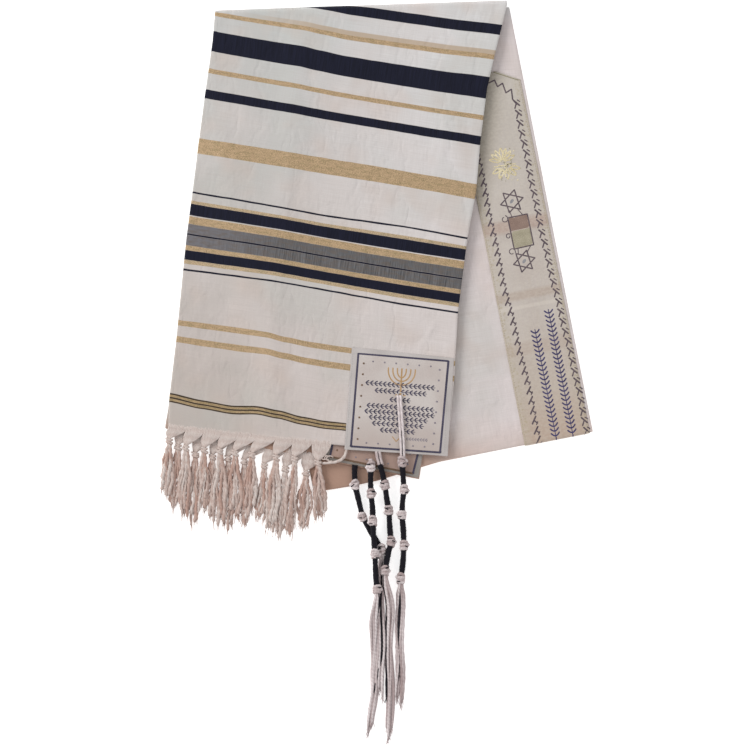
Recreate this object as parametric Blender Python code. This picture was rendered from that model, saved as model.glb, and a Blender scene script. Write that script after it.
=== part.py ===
"""A tallit prayer shawl, folded in eight and laid flat, as closed solids for Blender 4.5.

The cloth measures 560 by 1830 mm. It is folded lengthwise in half, then twice across, so four
double quarters lie on each other: the front with its fringed end on top, the second fringed end
under it, then the back with the neckband, and the underside. Lengths in the tables are
millimetres, with x to the right, y towards the top fold and z up from the surface it lies on.
"""
import math

import bmesh
import bpy
import numpy as np

MM = 0.001

# Thicknesses and clearances
WALL = 1.1
GAP = 0.3
BAND_WALL = 0.8
PATCH_WALL = 0.8
UNDER_HEIGHT = 2.8
SECOND_HEIGHT = 2.8
LOWER_FRONT_HEIGHT = 1.6

# Levels above the surface that carries the upper four layers
PANEL_TOP = UNDER_HEIGHT + GAP + WALL
SECOND_TOP = SECOND_HEIGHT
LOWER_FRONT_BOTTOM = SECOND_TOP + GAP
LOWER_FRONT_TOP = LOWER_FRONT_BOTTOM + LOWER_FRONT_HEIGHT
FRONT_BOTTOM = LOWER_FRONT_TOP + GAP
FRONT_TOP = FRONT_BOTTOM + WALL
BAND_RISE = GAP + BAND_WALL
FOLD_HEIGHT = PANEL_TOP + GAP + FRONT_TOP

# The lengthwise fold's radius, and how far the front's second layer stays inside the first
HALF_WIDTH = 280.0
CURL_RADIUS = 1.9
LOWER_FRONT_LEFT = 4.4
LOWER_FRONT_RIGHT = 1.6
LOWER_FRONT_LOW = 1.2
LAYERED_RIM = ((0.45, 0.0), (0.5, -0.8), (0.55, 0.0))

# Front quarter: distance along the cloth from its fringed end, then both edges at that distance
FRONT_ROWS = (
    # along, left_x, left_y, right_x, right_y
    (0.0, -208.0, -56.0, 71.0, -85.0),
    (29.5, -207.0, -26.5, 73.0, -61.0),
    (88.0, -200.0, 32.0, 78.0, -5.0),
    (157.0, -193.2, 101.4, 81.5, 58.0),
    (188.0, -190.0, 132.0, 85.0, 87.0),
    (234.0, -184.0, 178.3, 91.0, 132.0),
    (282.0, -178.0, 225.5, 99.7, 179.5),
    (332.0, -171.0, 276.5, 104.0, 229.5),
    (386.0, -163.3, 329.5, 110.6, 282.0),
    (413.0, -161.0, 357.5, 118.0, 314.5),
    (471.0, -157.0, 414.0, 132.0, 371.0),
)
FOLD_ALONG_LEFT = 416.5
FOLD_ALONG_RIGHT = 471.0

# Corners of the folded back, and of the second end under the front
BACK_TOP_LEFT = (-161.0, 361.0)
BACK_TOP_RIGHT = (132.0, 371.0)
BACK_LOW_RIGHT = (217.0, -61.0)
BACK_LOW_LEFT = (-63.0, -116.0)
SECOND_LOW_LEFT = (-210.5, -57.5)
SECOND_LOW_RIGHT = (43.0, -108.0)
SECOND_TOP_RIGHT = (108.0, 330.0)

# Neckband on the back: its inner edge, parallel to the panel's right edge
BAND_WIDTH = 66.0
BAND_INSET = 3.0
BAND_START_DROP = 72.0

# Grid of the back: its columns left of the neckband, the band's own columns, and its rows
BACK_LEFT_COLUMNS = 6
BAND_COLUMNS = 4
BACK_ROWS = 15
BAND_ROWS = 13

# Beside the back panel the upper layers slope down to the floor: where the slope starts, and its run
SIDE_SLOPE_START = 12.0
SIDE_SLOPE = 42.0
LOW_SLOPE_START = 5.0
LOW_SLOPE = 22.0
BAND_SLOPE_START = 10.0
BAND_SLOPE = 60.0
SECOND_EDGE_MARGIN = 3.0

# Corner patches: the second end's lies in a shallow recess of the layer under it
PATCH_SIDE = 96.0
SECOND_PATCH_ALONG = (-0.981, 0.195)
SECOND_PATCH_UP = (0.195, 0.981)
RECESS_MARGIN = 26.0
RECESS_SLOPE = 20.0
FRONT_PATCH = ((-31.0, -77.0), (70.0, -83.5), (74.0, 11.0), (-24.0, 19.5))

# Creases of the front: a pressed lengthwise ridge and soft waves
RIDGE_HEIGHT = 1.5
RIDGE_AT_FOLD = 0.317
RIDGE_AT_END = 0.357
RIDGE_WIDTH = 0.045
WAVE_HEIGHT = 0.6
RIPPLES = (
    # x, y, length, half_width, turn, height
    (40.0, 52.0, 24.0, 5.0, -0.45, 1.0),
    (52.0, 60.0, 16.0, 4.0, -0.2, 0.8),
    (50.0, 32.0, 22.0, 4.0, 1.05, 0.6),
    (-120.0, 120.0, 46.0, 9.0, 1.2, 0.7),
    (-60.0, 270.0, 60.0, 10.0, 1.35, 0.6),
    (-150.0, 10.0, 34.0, 8.0, 0.2, 0.8),
)
BACK_RIPPLES = (
    # x, y, length, half_width, turn, height
    (139.0, 142.0, 44.0, 6.0, 0.3, 1.1),
    (162.0, 75.0, 16.0, 5.0, 0.25, 0.7),
    (120.0, -20.0, 60.0, 10.0, -1.3, 0.6),
)

# Fringe of both ends: where each tassel leaves the cloth, its knot and where its strands end
UPPER_TASSELS = (
    # root_x, knot_x, knot_y, end_x, end_y
    (-198.0, -207.0, -70.0, -211.0, -128.0),
    (-180.0, -190.0, -77.0, -194.0, -148.0),
    (-162.0, -172.0, -79.0, -175.0, -141.0),
    (-144.0, -156.0, -80.0, -158.0, -156.0),
    (-126.0, -141.0, -82.0, -142.0, -150.0),
    (-108.0, -124.0, -84.0, -127.0, -146.0),
    (-90.0, -100.0, -86.5, -105.0, -163.0),
    (-72.0, -81.0, -88.0, -88.0, -167.0),
    (-54.0, -58.0, -92.0, -57.0, -151.0),
)
LOWER_TASSELS = (
    (-190.0, -198.5, -76.0, -203.0, -138.0),
    (-172.0, -181.0, -84.0, -184.0, -155.0),
    (-154.0, -164.0, -86.0, -166.0, -148.0),
    (-136.0, -148.5, -88.0, -150.0, -160.0),
    (-118.0, -132.0, -91.0, -133.0, -157.0),
    (-100.0, -112.0, -95.0, -116.0, -151.0),
    (-82.0, -90.5, -98.0, -97.0, -168.0),
    (-64.0, -70.0, -102.0, -73.0, -160.0),
)
STRIP_DEPTH = 1.6
STRIP_END_X = -42.0
STRANDS = 5
LEGS = ((0, 2), (3, 5))
LEG_WIDTH = 3.4
ROOT_SPREAD = 7.0
KNOT_HALF_WIDTH = 3.0
STRAND_HALF = 0.75
STRAND_PITCH = 2.3
UPPER_FRINGE = {"strand": 4.3, "knot": 5.2, "knot_half": 1.6}
LOWER_FRINGE = {"strand": 1.15, "knot": 1.7, "knot_half": 1.3}

# Corner tassels: the cord's way, with the knots that hold its windings
WOUND_RADIUS = 3.0
KNOT_RADIUS = 4.5
CORD_COLUMNS = 4
CORD_ROWS = 2
CORD_PITCH = 1.9
CORD_STRAND_LEVEL = 2.3
TZITZIT = (
    {
        "way": ((23.0, -24.0, 14.0), (25.5, -60.0, 14.0), (26.5, -82.0, 14.2)),
        "knots": ((26.0, -91.0, 13.0), (28.0, -119.0, 9.2), (26.0, -144.0, 5.0), (28.0, -175.0, 5.0),
                  (25.0, -208.0, 5.0)),
        "ends": ((24.5, -222.0), (24.0, -336.0)),
        "settle": 0.12,
    },
    {
        "way": ((2.4, -82.0, 9.8),),
        "knots": ((3.2, -90.0, 12.4), (9.0, -114.0, 9.8), (13.0, -140.0, 5.4), (15.0, -171.0, 5.8),
                  (9.0, -200.0, 9.6)),
        "ends": ((13.3, -222.0), (13.6, -371.0)),
        "settle": 0.4,
    },
    {
        "way": ((-5.3, -88.0, 10.2),),
        "knots": ((-5.0, -96.0, 12.4), (-5.0, -122.5, 9.0), (-3.0, -150.0, 10.6), (-1.0, -183.0, 12.8),
                  (1.0, -218.0, 9.8)),
        "ends": ((-5.0, -244.0), (-5.0, -364.0)),
        "settle": 0.4,
    },
    {
        "way": ((-21.0, -98.0, 7.3), (-21.0, -104.0, 7.7)),
        "knots": ((-21.0, -114.0, 7.7), (-13.5, -146.0, 5.0), (6.0, -179.0, 4.9)),
        "ends": ((4.4, -198.0), (4.2, -330.0)),
        "settle": 0.12,
    },
)

CLOTH_COLOUR = (0.72, 0.67, 0.64)
BAND_COLOUR = (0.56, 0.48, 0.40)
PATCH_COLOUR = (0.66, 0.58, 0.50)
FRINGE_COLOUR = (0.62, 0.49, 0.43)
TASSEL_COLOUR = (0.16, 0.13, 0.16)


def smooth(value):
    """Rise from 0 to 1 with level ends."""
    value = min(1.0, max(0.0, value))
    return value * value * (3.0 - 2.0 * value)


def mix(start, end, share):
    """Point between two points."""
    return np.asarray(start, float) * (1.0 - share) + np.asarray(end, float) * share


def inside_distance(x, y, start, end):
    """Distance of a point from a line, positive on its left side."""
    run = np.subtract(end, start)
    return float(run[0] * (y - start[1]) - run[1] * (x - start[0])) / math.hypot(*run)


def ripple(x, y, table):
    """Height of the short creases at one place."""
    total = 0.0
    for centre_x, centre_y, length, half_width, turn, height in table:
        along = (x - centre_x) * math.cos(turn) + (y - centre_y) * math.sin(turn)
        across = (y - centre_y) * math.cos(turn) - (x - centre_x) * math.sin(turn)
        total += height * math.exp(-((along / length) ** 2) - (across / half_width) ** 2)
    return total


def band_share(x, y):
    """1 on the neckband's part of the back, falling to 0 well outside it."""
    edge = inside_distance(x, y, BACK_LOW_RIGHT, BACK_TOP_RIGHT)
    over_start = y - (BACK_TOP_RIGHT[1] - BAND_START_DROP)
    beside = edge - BAND_INSET - BAND_WIDTH
    return (smooth(1.0 - (beside - BAND_SLOPE_START) / BAND_SLOPE)
            * smooth(1.0 - (over_start - BAND_SLOPE_START) / BAND_SLOPE))


def second_patch_share(x, y):
    """1 under the second end's patch, falling to 0 well outside it."""
    along = float(np.dot(np.subtract((x, y), SECOND_LOW_RIGHT), SECOND_PATCH_ALONG))
    up = float(np.dot(np.subtract((x, y), SECOND_LOW_RIGHT), SECOND_PATCH_UP))
    reach = PATCH_SIDE + RECESS_MARGIN
    return smooth(1.0 - (along - reach) / RECESS_SLOPE) * smooth(1.0 - (up - reach) / RECESS_SLOPE)


def front_flatness(across, along):
    """1 under the front's patch, where the cloth lies flat, falling to 0 beside it."""
    return smooth((across - 0.42) / 0.1) * smooth((135.0 - along) / 22.0)


def back_lift(x, y):
    """Creases of the back, only where it shows."""
    shows = smooth(inside_distance(x, y, FRONT_ROWS[0][3:], FRONT_ROWS[-2][3:]) / -14.0)
    return ripple(x, y, BACK_RIPPLES) * shows * smooth((y + 40.0) / 40.0)


def support(x, y):
    """Level that carries the upper layers: the back with its neckband, sloping to the floor beside it."""
    outside = -inside_distance(x, y, BACK_TOP_LEFT, BACK_LOW_LEFT)
    side = smooth(1.0 - (outside - SIDE_SLOPE_START) / SIDE_SLOPE)
    return (PANEL_TOP + GAP + BAND_RISE * band_share(x, y)) * side


def drape(x, y):
    """Level that carries loose strands: as support, and sloping to the floor past the neck fold."""
    outside = -inside_distance(x, y, BACK_LOW_LEFT, BACK_LOW_RIGHT)
    return support(x, y) * smooth(1.0 - (outside - LOW_SLOPE_START) / LOW_SLOPE)


def front_edges(along):
    """Left and right edge of the front at one distance from its fringed end."""
    rows = np.asarray(FRONT_ROWS)
    values = [np.interp(along, rows[:, 0], rows[:, column]) for column in range(1, 5)]
    return np.array(values[:2]), np.array(values[2:])


def front_along(across, share):
    """Distance from the fringed end: the top fold lies further along at the right edge."""
    return (FOLD_ALONG_LEFT + (FOLD_ALONG_RIGHT - FOLD_ALONG_LEFT) * across) * share


def front_wave(across, along):
    """Ridge and soft waves of the front's top layer."""
    share = along / FOLD_ALONG_LEFT
    ridge_at = RIDGE_AT_END + (RIDGE_AT_FOLD - RIDGE_AT_END) * share
    ridge = RIDGE_HEIGHT * math.exp(-(((across - ridge_at) / RIDGE_WIDTH) ** 2))
    wave = WAVE_HEIGHT * (1.0 + math.sin(9.0 * across + 5.0 * share) * math.cos(7.0 * share - 2.0 * across))
    return (ridge + wave) * smooth(share / 0.06)


def unit_rows(vectors):
    """Vectors of length 1."""
    return vectors / np.linalg.norm(vectors, axis=-1, keepdims=True)


def add_object(name, points, faces, colour, roughness):
    """Make one closed object from points in millimetres."""
    mesh = bpy.data.meshes.new(name)
    mesh.from_pydata([tuple(float(value) * MM for value in point) for point in points], [], faces)
    shape = bmesh.new()
    shape.from_mesh(mesh)
    bmesh.ops.recalc_face_normals(shape, faces=shape.faces)
    if shape.calc_volume(signed=True) < 0.0:
        bmesh.ops.reverse_faces(shape, faces=shape.faces)
    shape.to_mesh(mesh)
    shape.free()
    material = bpy.data.materials.get(name) or bpy.data.materials.new(name)
    material.use_nodes = True
    shader = material.node_tree.nodes["Principled BSDF"]
    shader.inputs["Base Color"].default_value = (*colour, 1.0)
    shader.inputs["Roughness"].default_value = roughness
    shader.inputs["Metallic"].default_value = 0.0
    mesh.materials.append(material)
    mesh.shade_smooth()
    mesh.set_sharp_from_angle(angle=math.radians(50.0))
    piece = bpy.data.objects.new(name, mesh)
    bpy.context.scene.collection.objects.link(piece)
    return piece


def add_sheet(name, outer, inner, colour, rim=()):
    """Close the two sides of a cloth with its rim; rim rings are (height share, outset) pairs."""
    outer = np.asarray(outer, float)
    inner = np.asarray(inner, float)
    rows, columns = outer.shape[:2]
    points = list(outer.reshape(-1, 3)) + list(inner.reshape(-1, 3))
    under = rows * columns

    def index(row, column):
        return row * columns + column

    faces = []
    for row in range(rows - 1):
        for column in range(columns - 1):
            quad = [index(row, column), index(row, column + 1), index(row + 1, column + 1),
                    index(row + 1, column)]
            faces.append(quad)
            faces.append([under + quad[0], under + quad[3], under + quad[2], under + quad[1]])
    border = [(0, column) for column in range(columns)]
    border += [(row, columns - 1) for row in range(1, rows)]
    border += [(rows - 1, column) for column in range(columns - 2, -1, -1)]
    border += [(row, 0) for row in range(rows - 2, 0, -1)]
    rings = [[index(*place) for place in border]]
    for height, outset in rim:
        ring = []
        for row, column in border:
            inward_row = min(max(row, 1), rows - 2)
            inward_column = min(max(column, 1), columns - 2)
            away = outer[row, column, :2] - outer[inward_row, inward_column, :2]
            away = away / np.linalg.norm(away)
            middle = mix(outer[row, column], inner[row, column], height)
            middle[:2] += away * outset
            ring.append(len(points))
            points.append(middle)
        rings.append(ring)
    rings.append([under + index(*place) for place in border])
    for upper, lower in zip(rings, rings[1:]):
        for step in range(len(border)):
            after = (step + 1) % len(border)
            faces.append([lower[step], lower[after], upper[after], upper[step]])
    return add_object(name, points, faces, colour, 0.85)


def inner_side(outer, wall):
    """The sheet's inner points: its outer points moved in by the wall along their normals."""
    down = np.gradient(outer, axis=0)
    across = np.gradient(outer, axis=1)
    return outer - wall * unit_rows(np.cross(across, down))


def add_curl(grid, radius, turn, steps):
    """Carry the sheet's left side down round a lengthwise fold."""
    columns = []
    for step in range(steps, 0, -1):
        angle = turn * step / steps
        away = unit_rows(grid[:, 0, :2] - grid[:, 1, :2])
        column = grid[:, 0].copy()
        column[:, :2] += away * radius * math.sin(angle)
        column[:, 2] -= radius * (1.0 - math.cos(angle))
        columns.append(column[:, None])
    return np.concatenate(columns + [grid], axis=1)


def add_roll(grid, axis_height, away, turn, steps, at_start):
    """Carry the sheet round a crosswise fold whose axis lies at one height."""
    last = grid[0] if at_start else grid[-1]
    rows = []
    for step in range(1, steps + 1):
        angle = turn * step / steps
        radius = last[:, 2] - axis_height
        row = last.copy()
        row[:, :2] += np.outer(radius * math.sin(angle), away)
        row[:, 2] = axis_height + radius * math.cos(angle)
        rows.append(row[None])
    if at_start:
        return np.concatenate(rows[::-1] + [grid], axis=0)
    return np.concatenate([grid] + rows, axis=0)


def line_normal(start, end):
    """Unit vector to the right of a line's run."""
    run = np.subtract(end, start)
    return np.array([run[1], -run[0]]) / math.hypot(*run)


def front_columns():
    """Places across the front, closer together along the pressed ridge, and one just inside each edge."""
    middle = np.concatenate([np.linspace(0.08, 0.24, 3), np.linspace(0.3, 0.4, 3), np.linspace(0.5, 0.9, 5)])
    left = [0.0, LOWER_FRONT_LEFT / HALF_WIDTH]
    right = [1.0 - LOWER_FRONT_RIGHT / HALF_WIDTH, 1.0]
    return np.concatenate([left, middle, right])


def front_shares():
    """Places along the front from its fringed end, with one just inside that end."""
    return np.concatenate([[0.0, LOWER_FRONT_LOW / FOLD_ALONG_LEFT], np.linspace(0.07, 1.0, 14)])


def front_plan(columns, rows, fold_inset):
    """Plan points of the front between its edges; every upper layer shares them."""
    plan = np.zeros((len(rows), len(columns), 2))
    for row, share in enumerate(rows):
        for column, across in enumerate(columns):
            left, right = front_edges(front_along(across, share) - fold_inset * share)
            plan[row, column] = mix(left, right, across)
        plan[row, -3] = beside_second_edge(plan[row, 0], plan[row, -1], SECOND_EDGE_MARGIN)
    return plan


def beside_second_edge(left, right, margin):
    """Point of a row that lies at a margin outside the second end's open edge."""
    start = inside_distance(*left, SECOND_LOW_RIGHT, SECOND_TOP_RIGHT)
    end = inside_distance(*right, SECOND_LOW_RIGHT, SECOND_TOP_RIGHT)
    return mix(left, right, (start + margin) / (start - end))


def move_border(plan, left, right, low):
    """Move a layer's outer points inwards, so its edges lie inside the layer over it."""
    moved = plan.copy()
    moved[:, 0] += unit_rows(plan[:, 1] - plan[:, 0]) * left
    moved[:, -1] += unit_rows(plan[:, -2] - plan[:, -1]) * right
    moved[0] += unit_rows(plan[1] - plan[0]) * low
    return moved


def with_height(plan, height):
    """Points over a plan at heights given by a function."""
    rows, columns = plan.shape[:2]
    grid = np.zeros((rows, columns, 3))
    grid[:, :, :2] = plan
    for row in range(rows):
        for column in range(columns):
            grid[row, column, 2] = height(*plan[row, column])
    return grid


def make_front():
    """Top layer of the front: round the lengthwise fold at its left and over the top fold."""
    columns = front_columns()
    shares = front_shares()
    plan = front_plan(columns, shares, FOLD_HEIGHT / 2.0)
    plan = move_border(plan, CURL_RADIUS, 0.0, 0.0)
    grid = with_height(plan, lambda x, y: support(x, y) + FRONT_TOP)
    for row, share in enumerate(shares):
        fade = smooth((1.0 - share) / 0.12)
        for column, across in enumerate(columns):
            along = front_along(across, share)
            x, y = plan[row, column]
            lift = front_wave(across, along) + ripple(x, y, RIPPLES)
            grid[row, column, 2] += lift * (1.0 - front_flatness(across, along))
            grid[row, column, 2] = FOLD_HEIGHT * (1.0 - fade) + grid[row, column, 2] * fade
    grid = add_curl(grid, CURL_RADIUS, math.radians(110.0), 4)
    away = -line_normal(BACK_TOP_LEFT, BACK_TOP_RIGHT)
    grid = add_roll(grid, FOLD_HEIGHT / 2.0, away, math.radians(160.0), 7, at_start=False)
    return add_sheet("cloth_front", grid, inner_side(grid, WALL), CLOTH_COLOUR)


def make_lower_front():
    """Second layer of the front quarter; past the second end's edge it reaches down to the back."""
    plan = front_plan(front_columns(), front_shares(), FOLD_HEIGHT / 2.0)[1:-1, 1:-1]
    upper = with_height(plan, lambda x, y: support(x, y) + LOWER_FRONT_TOP)
    lower = with_height(plan, lambda x, y: support(x, y) + LOWER_FRONT_BOTTOM)
    lower[:, -1, 2] -= SECOND_HEIGHT
    return add_sheet("cloth_front_lower", upper, lower, CLOTH_COLOUR, LAYERED_RIM)


def make_second_end():
    """The second fringed end with both its layers, one solid with layered edges."""
    full = front_plan(front_columns(), front_shares()[:-1], FOLD_HEIGHT / 2.0)
    plan = full[:, :-2].copy()
    rows = plan.shape[0]
    for row in range(rows):
        plan[row, -1] = beside_second_edge(full[row, 0], full[row, -1], 0.0)
    plan[0, -1] = SECOND_LOW_RIGHT
    low_run = unit_rows(np.subtract(SECOND_LOW_RIGHT, SECOND_LOW_LEFT))
    for column in range(plan.shape[1] - 1):
        reach = float(np.dot(plan[0, column] - np.asarray(SECOND_LOW_LEFT), low_run))
        plan[0, column] = np.asarray(SECOND_LOW_LEFT) + low_run * max(reach, 0.0)
    plan[1:, 0, 0] -= 1.8 * np.linspace(1.0, 0.0, rows - 1) - 0.6

    def top(x, y):
        return support(x, y) + SECOND_HEIGHT - (PATCH_WALL + GAP) * second_patch_share(x, y)

    return add_sheet("cloth_second_end", with_height(plan, top), with_height(plan, support),
                     CLOTH_COLOUR, LAYERED_RIM)


def back_columns():
    """Distances from the back's right edge at its lower and upper end, from left to right."""
    low_width = math.hypot(*np.subtract(BACK_LOW_RIGHT, BACK_LOW_LEFT))
    top_width = math.hypot(*np.subtract(BACK_TOP_RIGHT, BACK_TOP_LEFT))
    band_edge = BAND_INSET + BAND_WIDTH
    columns = []
    for share in np.linspace(1.0, 0.0, BACK_LEFT_COLUMNS + 1)[:-1]:
        distances = (band_edge + (width - band_edge) * share for width in (low_width, top_width))
        columns.append(tuple(distances))
    for distance in np.linspace(band_edge, BAND_INSET, BAND_COLUMNS):
        columns.append((distance, distance))
    return columns + [(0.0, 0.0)]


def back_plan():
    """Plan points of the back; the neckband starts at one of its rows."""
    radius = PANEL_TOP / 2.0
    length = math.hypot(*np.subtract(BACK_TOP_RIGHT, BACK_LOW_RIGHT))
    shares = list(np.linspace(radius / length, 1.0 - BAND_START_DROP / length, BAND_ROWS))
    shares += list(np.linspace(shares[-1], 1.0 - 12.0 / length, BACK_ROWS - BAND_ROWS + 1)[1:])
    low_left = unit_rows(np.subtract(BACK_LOW_LEFT, BACK_LOW_RIGHT))
    top_left = unit_rows(np.subtract(BACK_TOP_LEFT, BACK_TOP_RIGHT))
    plan = np.zeros((BACK_ROWS, len(back_columns()), 2))
    for column, (low_distance, top_distance) in enumerate(back_columns()):
        low = np.asarray(BACK_LOW_RIGHT) + low_left * low_distance
        high = np.asarray(BACK_TOP_RIGHT) + top_left * top_distance
        for row, share in enumerate(shares):
            plan[row, column] = mix(low, high, share)
    return plan


def make_under():
    """The underside quarter with the back's second layer, one solid with a flat underside."""
    plan = move_border(back_plan(), 3.6, 1.5, 3.4)
    upper = with_height(plan, lambda x, y: UNDER_HEIGHT)
    return add_sheet("cloth_under", upper, with_height(plan, lambda x, y: 0.0), CLOTH_COLOUR, LAYERED_RIM)


def make_back():
    """Top layer of the back: round its lengthwise fold and round the neck fold at its lower edge."""
    radius = PANEL_TOP / 2.0
    plan = move_border(back_plan(), radius, 0.0, 0.0)
    grid = with_height(plan, lambda x, y: PANEL_TOP + back_lift(x, y))
    grid = add_curl(grid, radius * 0.9, math.radians(95.0), 3)
    away = line_normal(BACK_LOW_LEFT, BACK_LOW_RIGHT)
    grid = add_roll(grid, radius, away, math.radians(150.0), 6, at_start=True)
    return add_sheet("cloth_back", grid, inner_side(grid, WALL), CLOTH_COLOUR)


def make_neckband():
    """The neckband, made from the back's points moved out, and carried round the neck fold."""
    plan = back_plan()[:BAND_ROWS, BACK_LEFT_COLUMNS:BACK_LEFT_COLUMNS + BAND_COLUMNS]
    grid = with_height(plan, lambda x, y: PANEL_TOP + back_lift(x, y) + BAND_RISE)
    away = line_normal(BACK_LOW_LEFT, BACK_LOW_RIGHT)
    grid = add_roll(grid, PANEL_TOP / 2.0, away, math.radians(118.0), 5, at_start=True)
    return add_sheet("neckband", grid, inner_side(grid, BAND_WALL), BAND_COLOUR)


def make_patch(name, corners, level):
    """A square corner patch; corners run low left, low right, top right, top left."""
    plan = np.zeros((6, 6, 2))
    for row, share in enumerate(np.linspace(0.0, 1.0, 6)):
        for column, across in enumerate(np.linspace(0.0, 1.0, 6)):
            low = mix(corners[0], corners[1], across)
            plan[row, column] = mix(low, mix(corners[3], corners[2], across), share)
    upper = with_height(plan, lambda x, y: support(x, y) + level + GAP + PATCH_WALL)
    lower = with_height(plan, lambda x, y: support(x, y) + level + GAP)
    return add_sheet(name, upper, lower, PATCH_COLOUR)


def make_patches():
    """The corner patch on the front, and the one on the second end, whose corner shows."""
    make_patch("corner_patch_front", FRONT_PATCH, FRONT_TOP)
    along = np.asarray(SECOND_PATCH_ALONG)
    up = np.asarray(SECOND_PATCH_UP)
    low_right = np.asarray(SECOND_LOW_RIGHT) + along * 1.2 + up * 1.2
    corners = (low_right + along * PATCH_SIDE, low_right, low_right + up * PATCH_SIDE,
               low_right + (along + up) * PATCH_SIDE)
    make_patch("corner_patch_second", corners, SECOND_HEIGHT - PATCH_WALL - GAP)


def add_tassel(points, faces, face_grid, spec, levels):
    """Grow one fringe tassel from a strip's outer face: two legs, a knot and its strands."""
    _, knot_x, knot_y, end_x, end_y = spec

    def ring(x, y, z, half_width, half_height, bulge):
        rows = []
        for sign in (1.0, -1.0):
            row = []
            for column in range(STRANDS + 1):
                place = 2.0 * column / STRANDS - 1.0
                rise = half_height * math.sqrt(1.0 - bulge * place * place)
                row.append(len(points))
                points.append((x + half_width * place, y, z + sign * rise))
            rows.append(row)
        return rows

    def bridge(first, second, start, end):
        for column in range(start, end):
            faces.append([first[0][column], first[0][column + 1], second[0][column + 1], second[0][column]])
            faces.append([first[1][column + 1], first[1][column], second[1][column], second[1][column + 1]])
        faces.append([first[0][start], second[0][start], second[1][start], first[1][start]])
        faces.append([first[0][end], first[1][end], second[1][end], second[0][end]])

    base = drape(knot_x, knot_y)
    top = ring(knot_x, knot_y + 4.0, base + levels["knot"], 2.1, 0.9, 0.0)
    for start, end in LEGS:
        bridge(face_grid, top, start, end)
    first_gap, after_gap = LEGS[0][1], LEGS[1][0]
    faces.append([top[0][first_gap], top[0][after_gap], top[1][after_gap], top[1][first_gap]])
    wide = ring(knot_x, knot_y, base + levels["knot"], KNOT_HALF_WIDTH, levels["knot_half"], 0.75)
    bottom = ring(knot_x, knot_y - 3.6, base + (levels["knot"] + levels["strand"]) / 2.0, 2.4, 0.85, 0.0)
    bridge(top, wide, 0, STRANDS)
    bridge(wide, bottom, 0, STRANDS)
    for strand in range(STRANDS):
        shift = strand + 0.5 - STRANDS / 2.0
        before = [bottom[0][strand], bottom[0][strand + 1], bottom[1][strand + 1], bottom[1][strand]]
        reach = 1.0 - 0.12 * ((strand * 7 + int(abs(knot_x))) % 4) / 3.0
        for share in (0.3, 0.65, 1.0):
            spread = smooth(share * 1.6)
            sway = 1.1 * math.sin(6.3 * share + knot_x) * math.sin(math.pi * min(1.0, share + 0.2))
            x = knot_x + (end_x - knot_x) * share * reach + shift * STRAND_PITCH * (0.45 + 0.55 * spread) + sway
            y = knot_y - 3.6 + (end_y - knot_y + 3.6) * share * reach
            z = drape(x, y) + levels["strand"]
            after = []
            for side_x, side_z in ((-1, 1), (1, 1), (1, -1), (-1, -1)):
                after.append(len(points))
                points.append((x + side_x * STRAND_HALF, y, z + side_z * STRAND_HALF))
            for corner in range(4):
                following = (corner + 1) % 4
                faces.append([before[corner], before[following], after[following], after[corner]])
            before = after
        faces.append(before)


def make_fringe(name, tassels, edge_start, edge_end, level, levels):
    """A narrow strip just outside the cloth's end, with tassels fused to it."""
    run = unit_rows(np.subtract(edge_end, edge_start))
    out = np.array([run[1], -run[0]])
    stations = [0.0]
    cells = []
    for spec in tassels:
        centre = (spec[0] - edge_start[0]) / run[0]
        inner = ROOT_SPREAD / 2.0
        outer = inner + LEG_WIDTH
        cells.append(len(stations))
        stations += [centre - outer, centre - (outer + inner) / 2.0, centre - inner]
        stations += [centre + inner, centre + (outer + inner) / 2.0, centre + outer]
    stations.append((STRIP_END_X - edge_start[0]) / run[0])
    points = []
    faces = []
    near = [[], []]
    far = [[], []]
    for distance in stations:
        for side, depth in ((near, GAP), (far, GAP + STRIP_DEPTH)):
            x, y = np.asarray(edge_start) + run * distance + out * depth
            z = support(x, y) + level
            for layer, lift in enumerate((WALL / 2.0, -WALL / 2.0)):
                side[layer].append(len(points))
                points.append((x, y, z + lift))
    leg_cells = {start + cell for start in cells for leg in LEGS for cell in range(*leg)}
    for cell in range(len(stations) - 1):
        following = cell + 1
        faces.append([near[0][cell], near[0][following], far[0][following], far[0][cell]])
        faces.append([near[1][following], near[1][cell], far[1][cell], far[1][following]])
        faces.append([near[0][following], near[0][cell], near[1][cell], near[1][following]])
        if cell not in leg_cells:
            faces.append([far[0][cell], far[0][following], far[1][following], far[1][cell]])
    faces.append([near[0][0], far[0][0], far[1][0], near[1][0]])
    faces.append([near[0][-1], near[1][-1], far[1][-1], far[0][-1]])
    for start, spec in zip(cells, tassels):
        face_grid = (far[0][start:start + STRANDS + 1], far[1][start:start + STRANDS + 1])
        add_tassel(points, faces, face_grid, spec, levels)
    return add_object(name, points, faces, FRINGE_COLOUR, 0.9)


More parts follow.
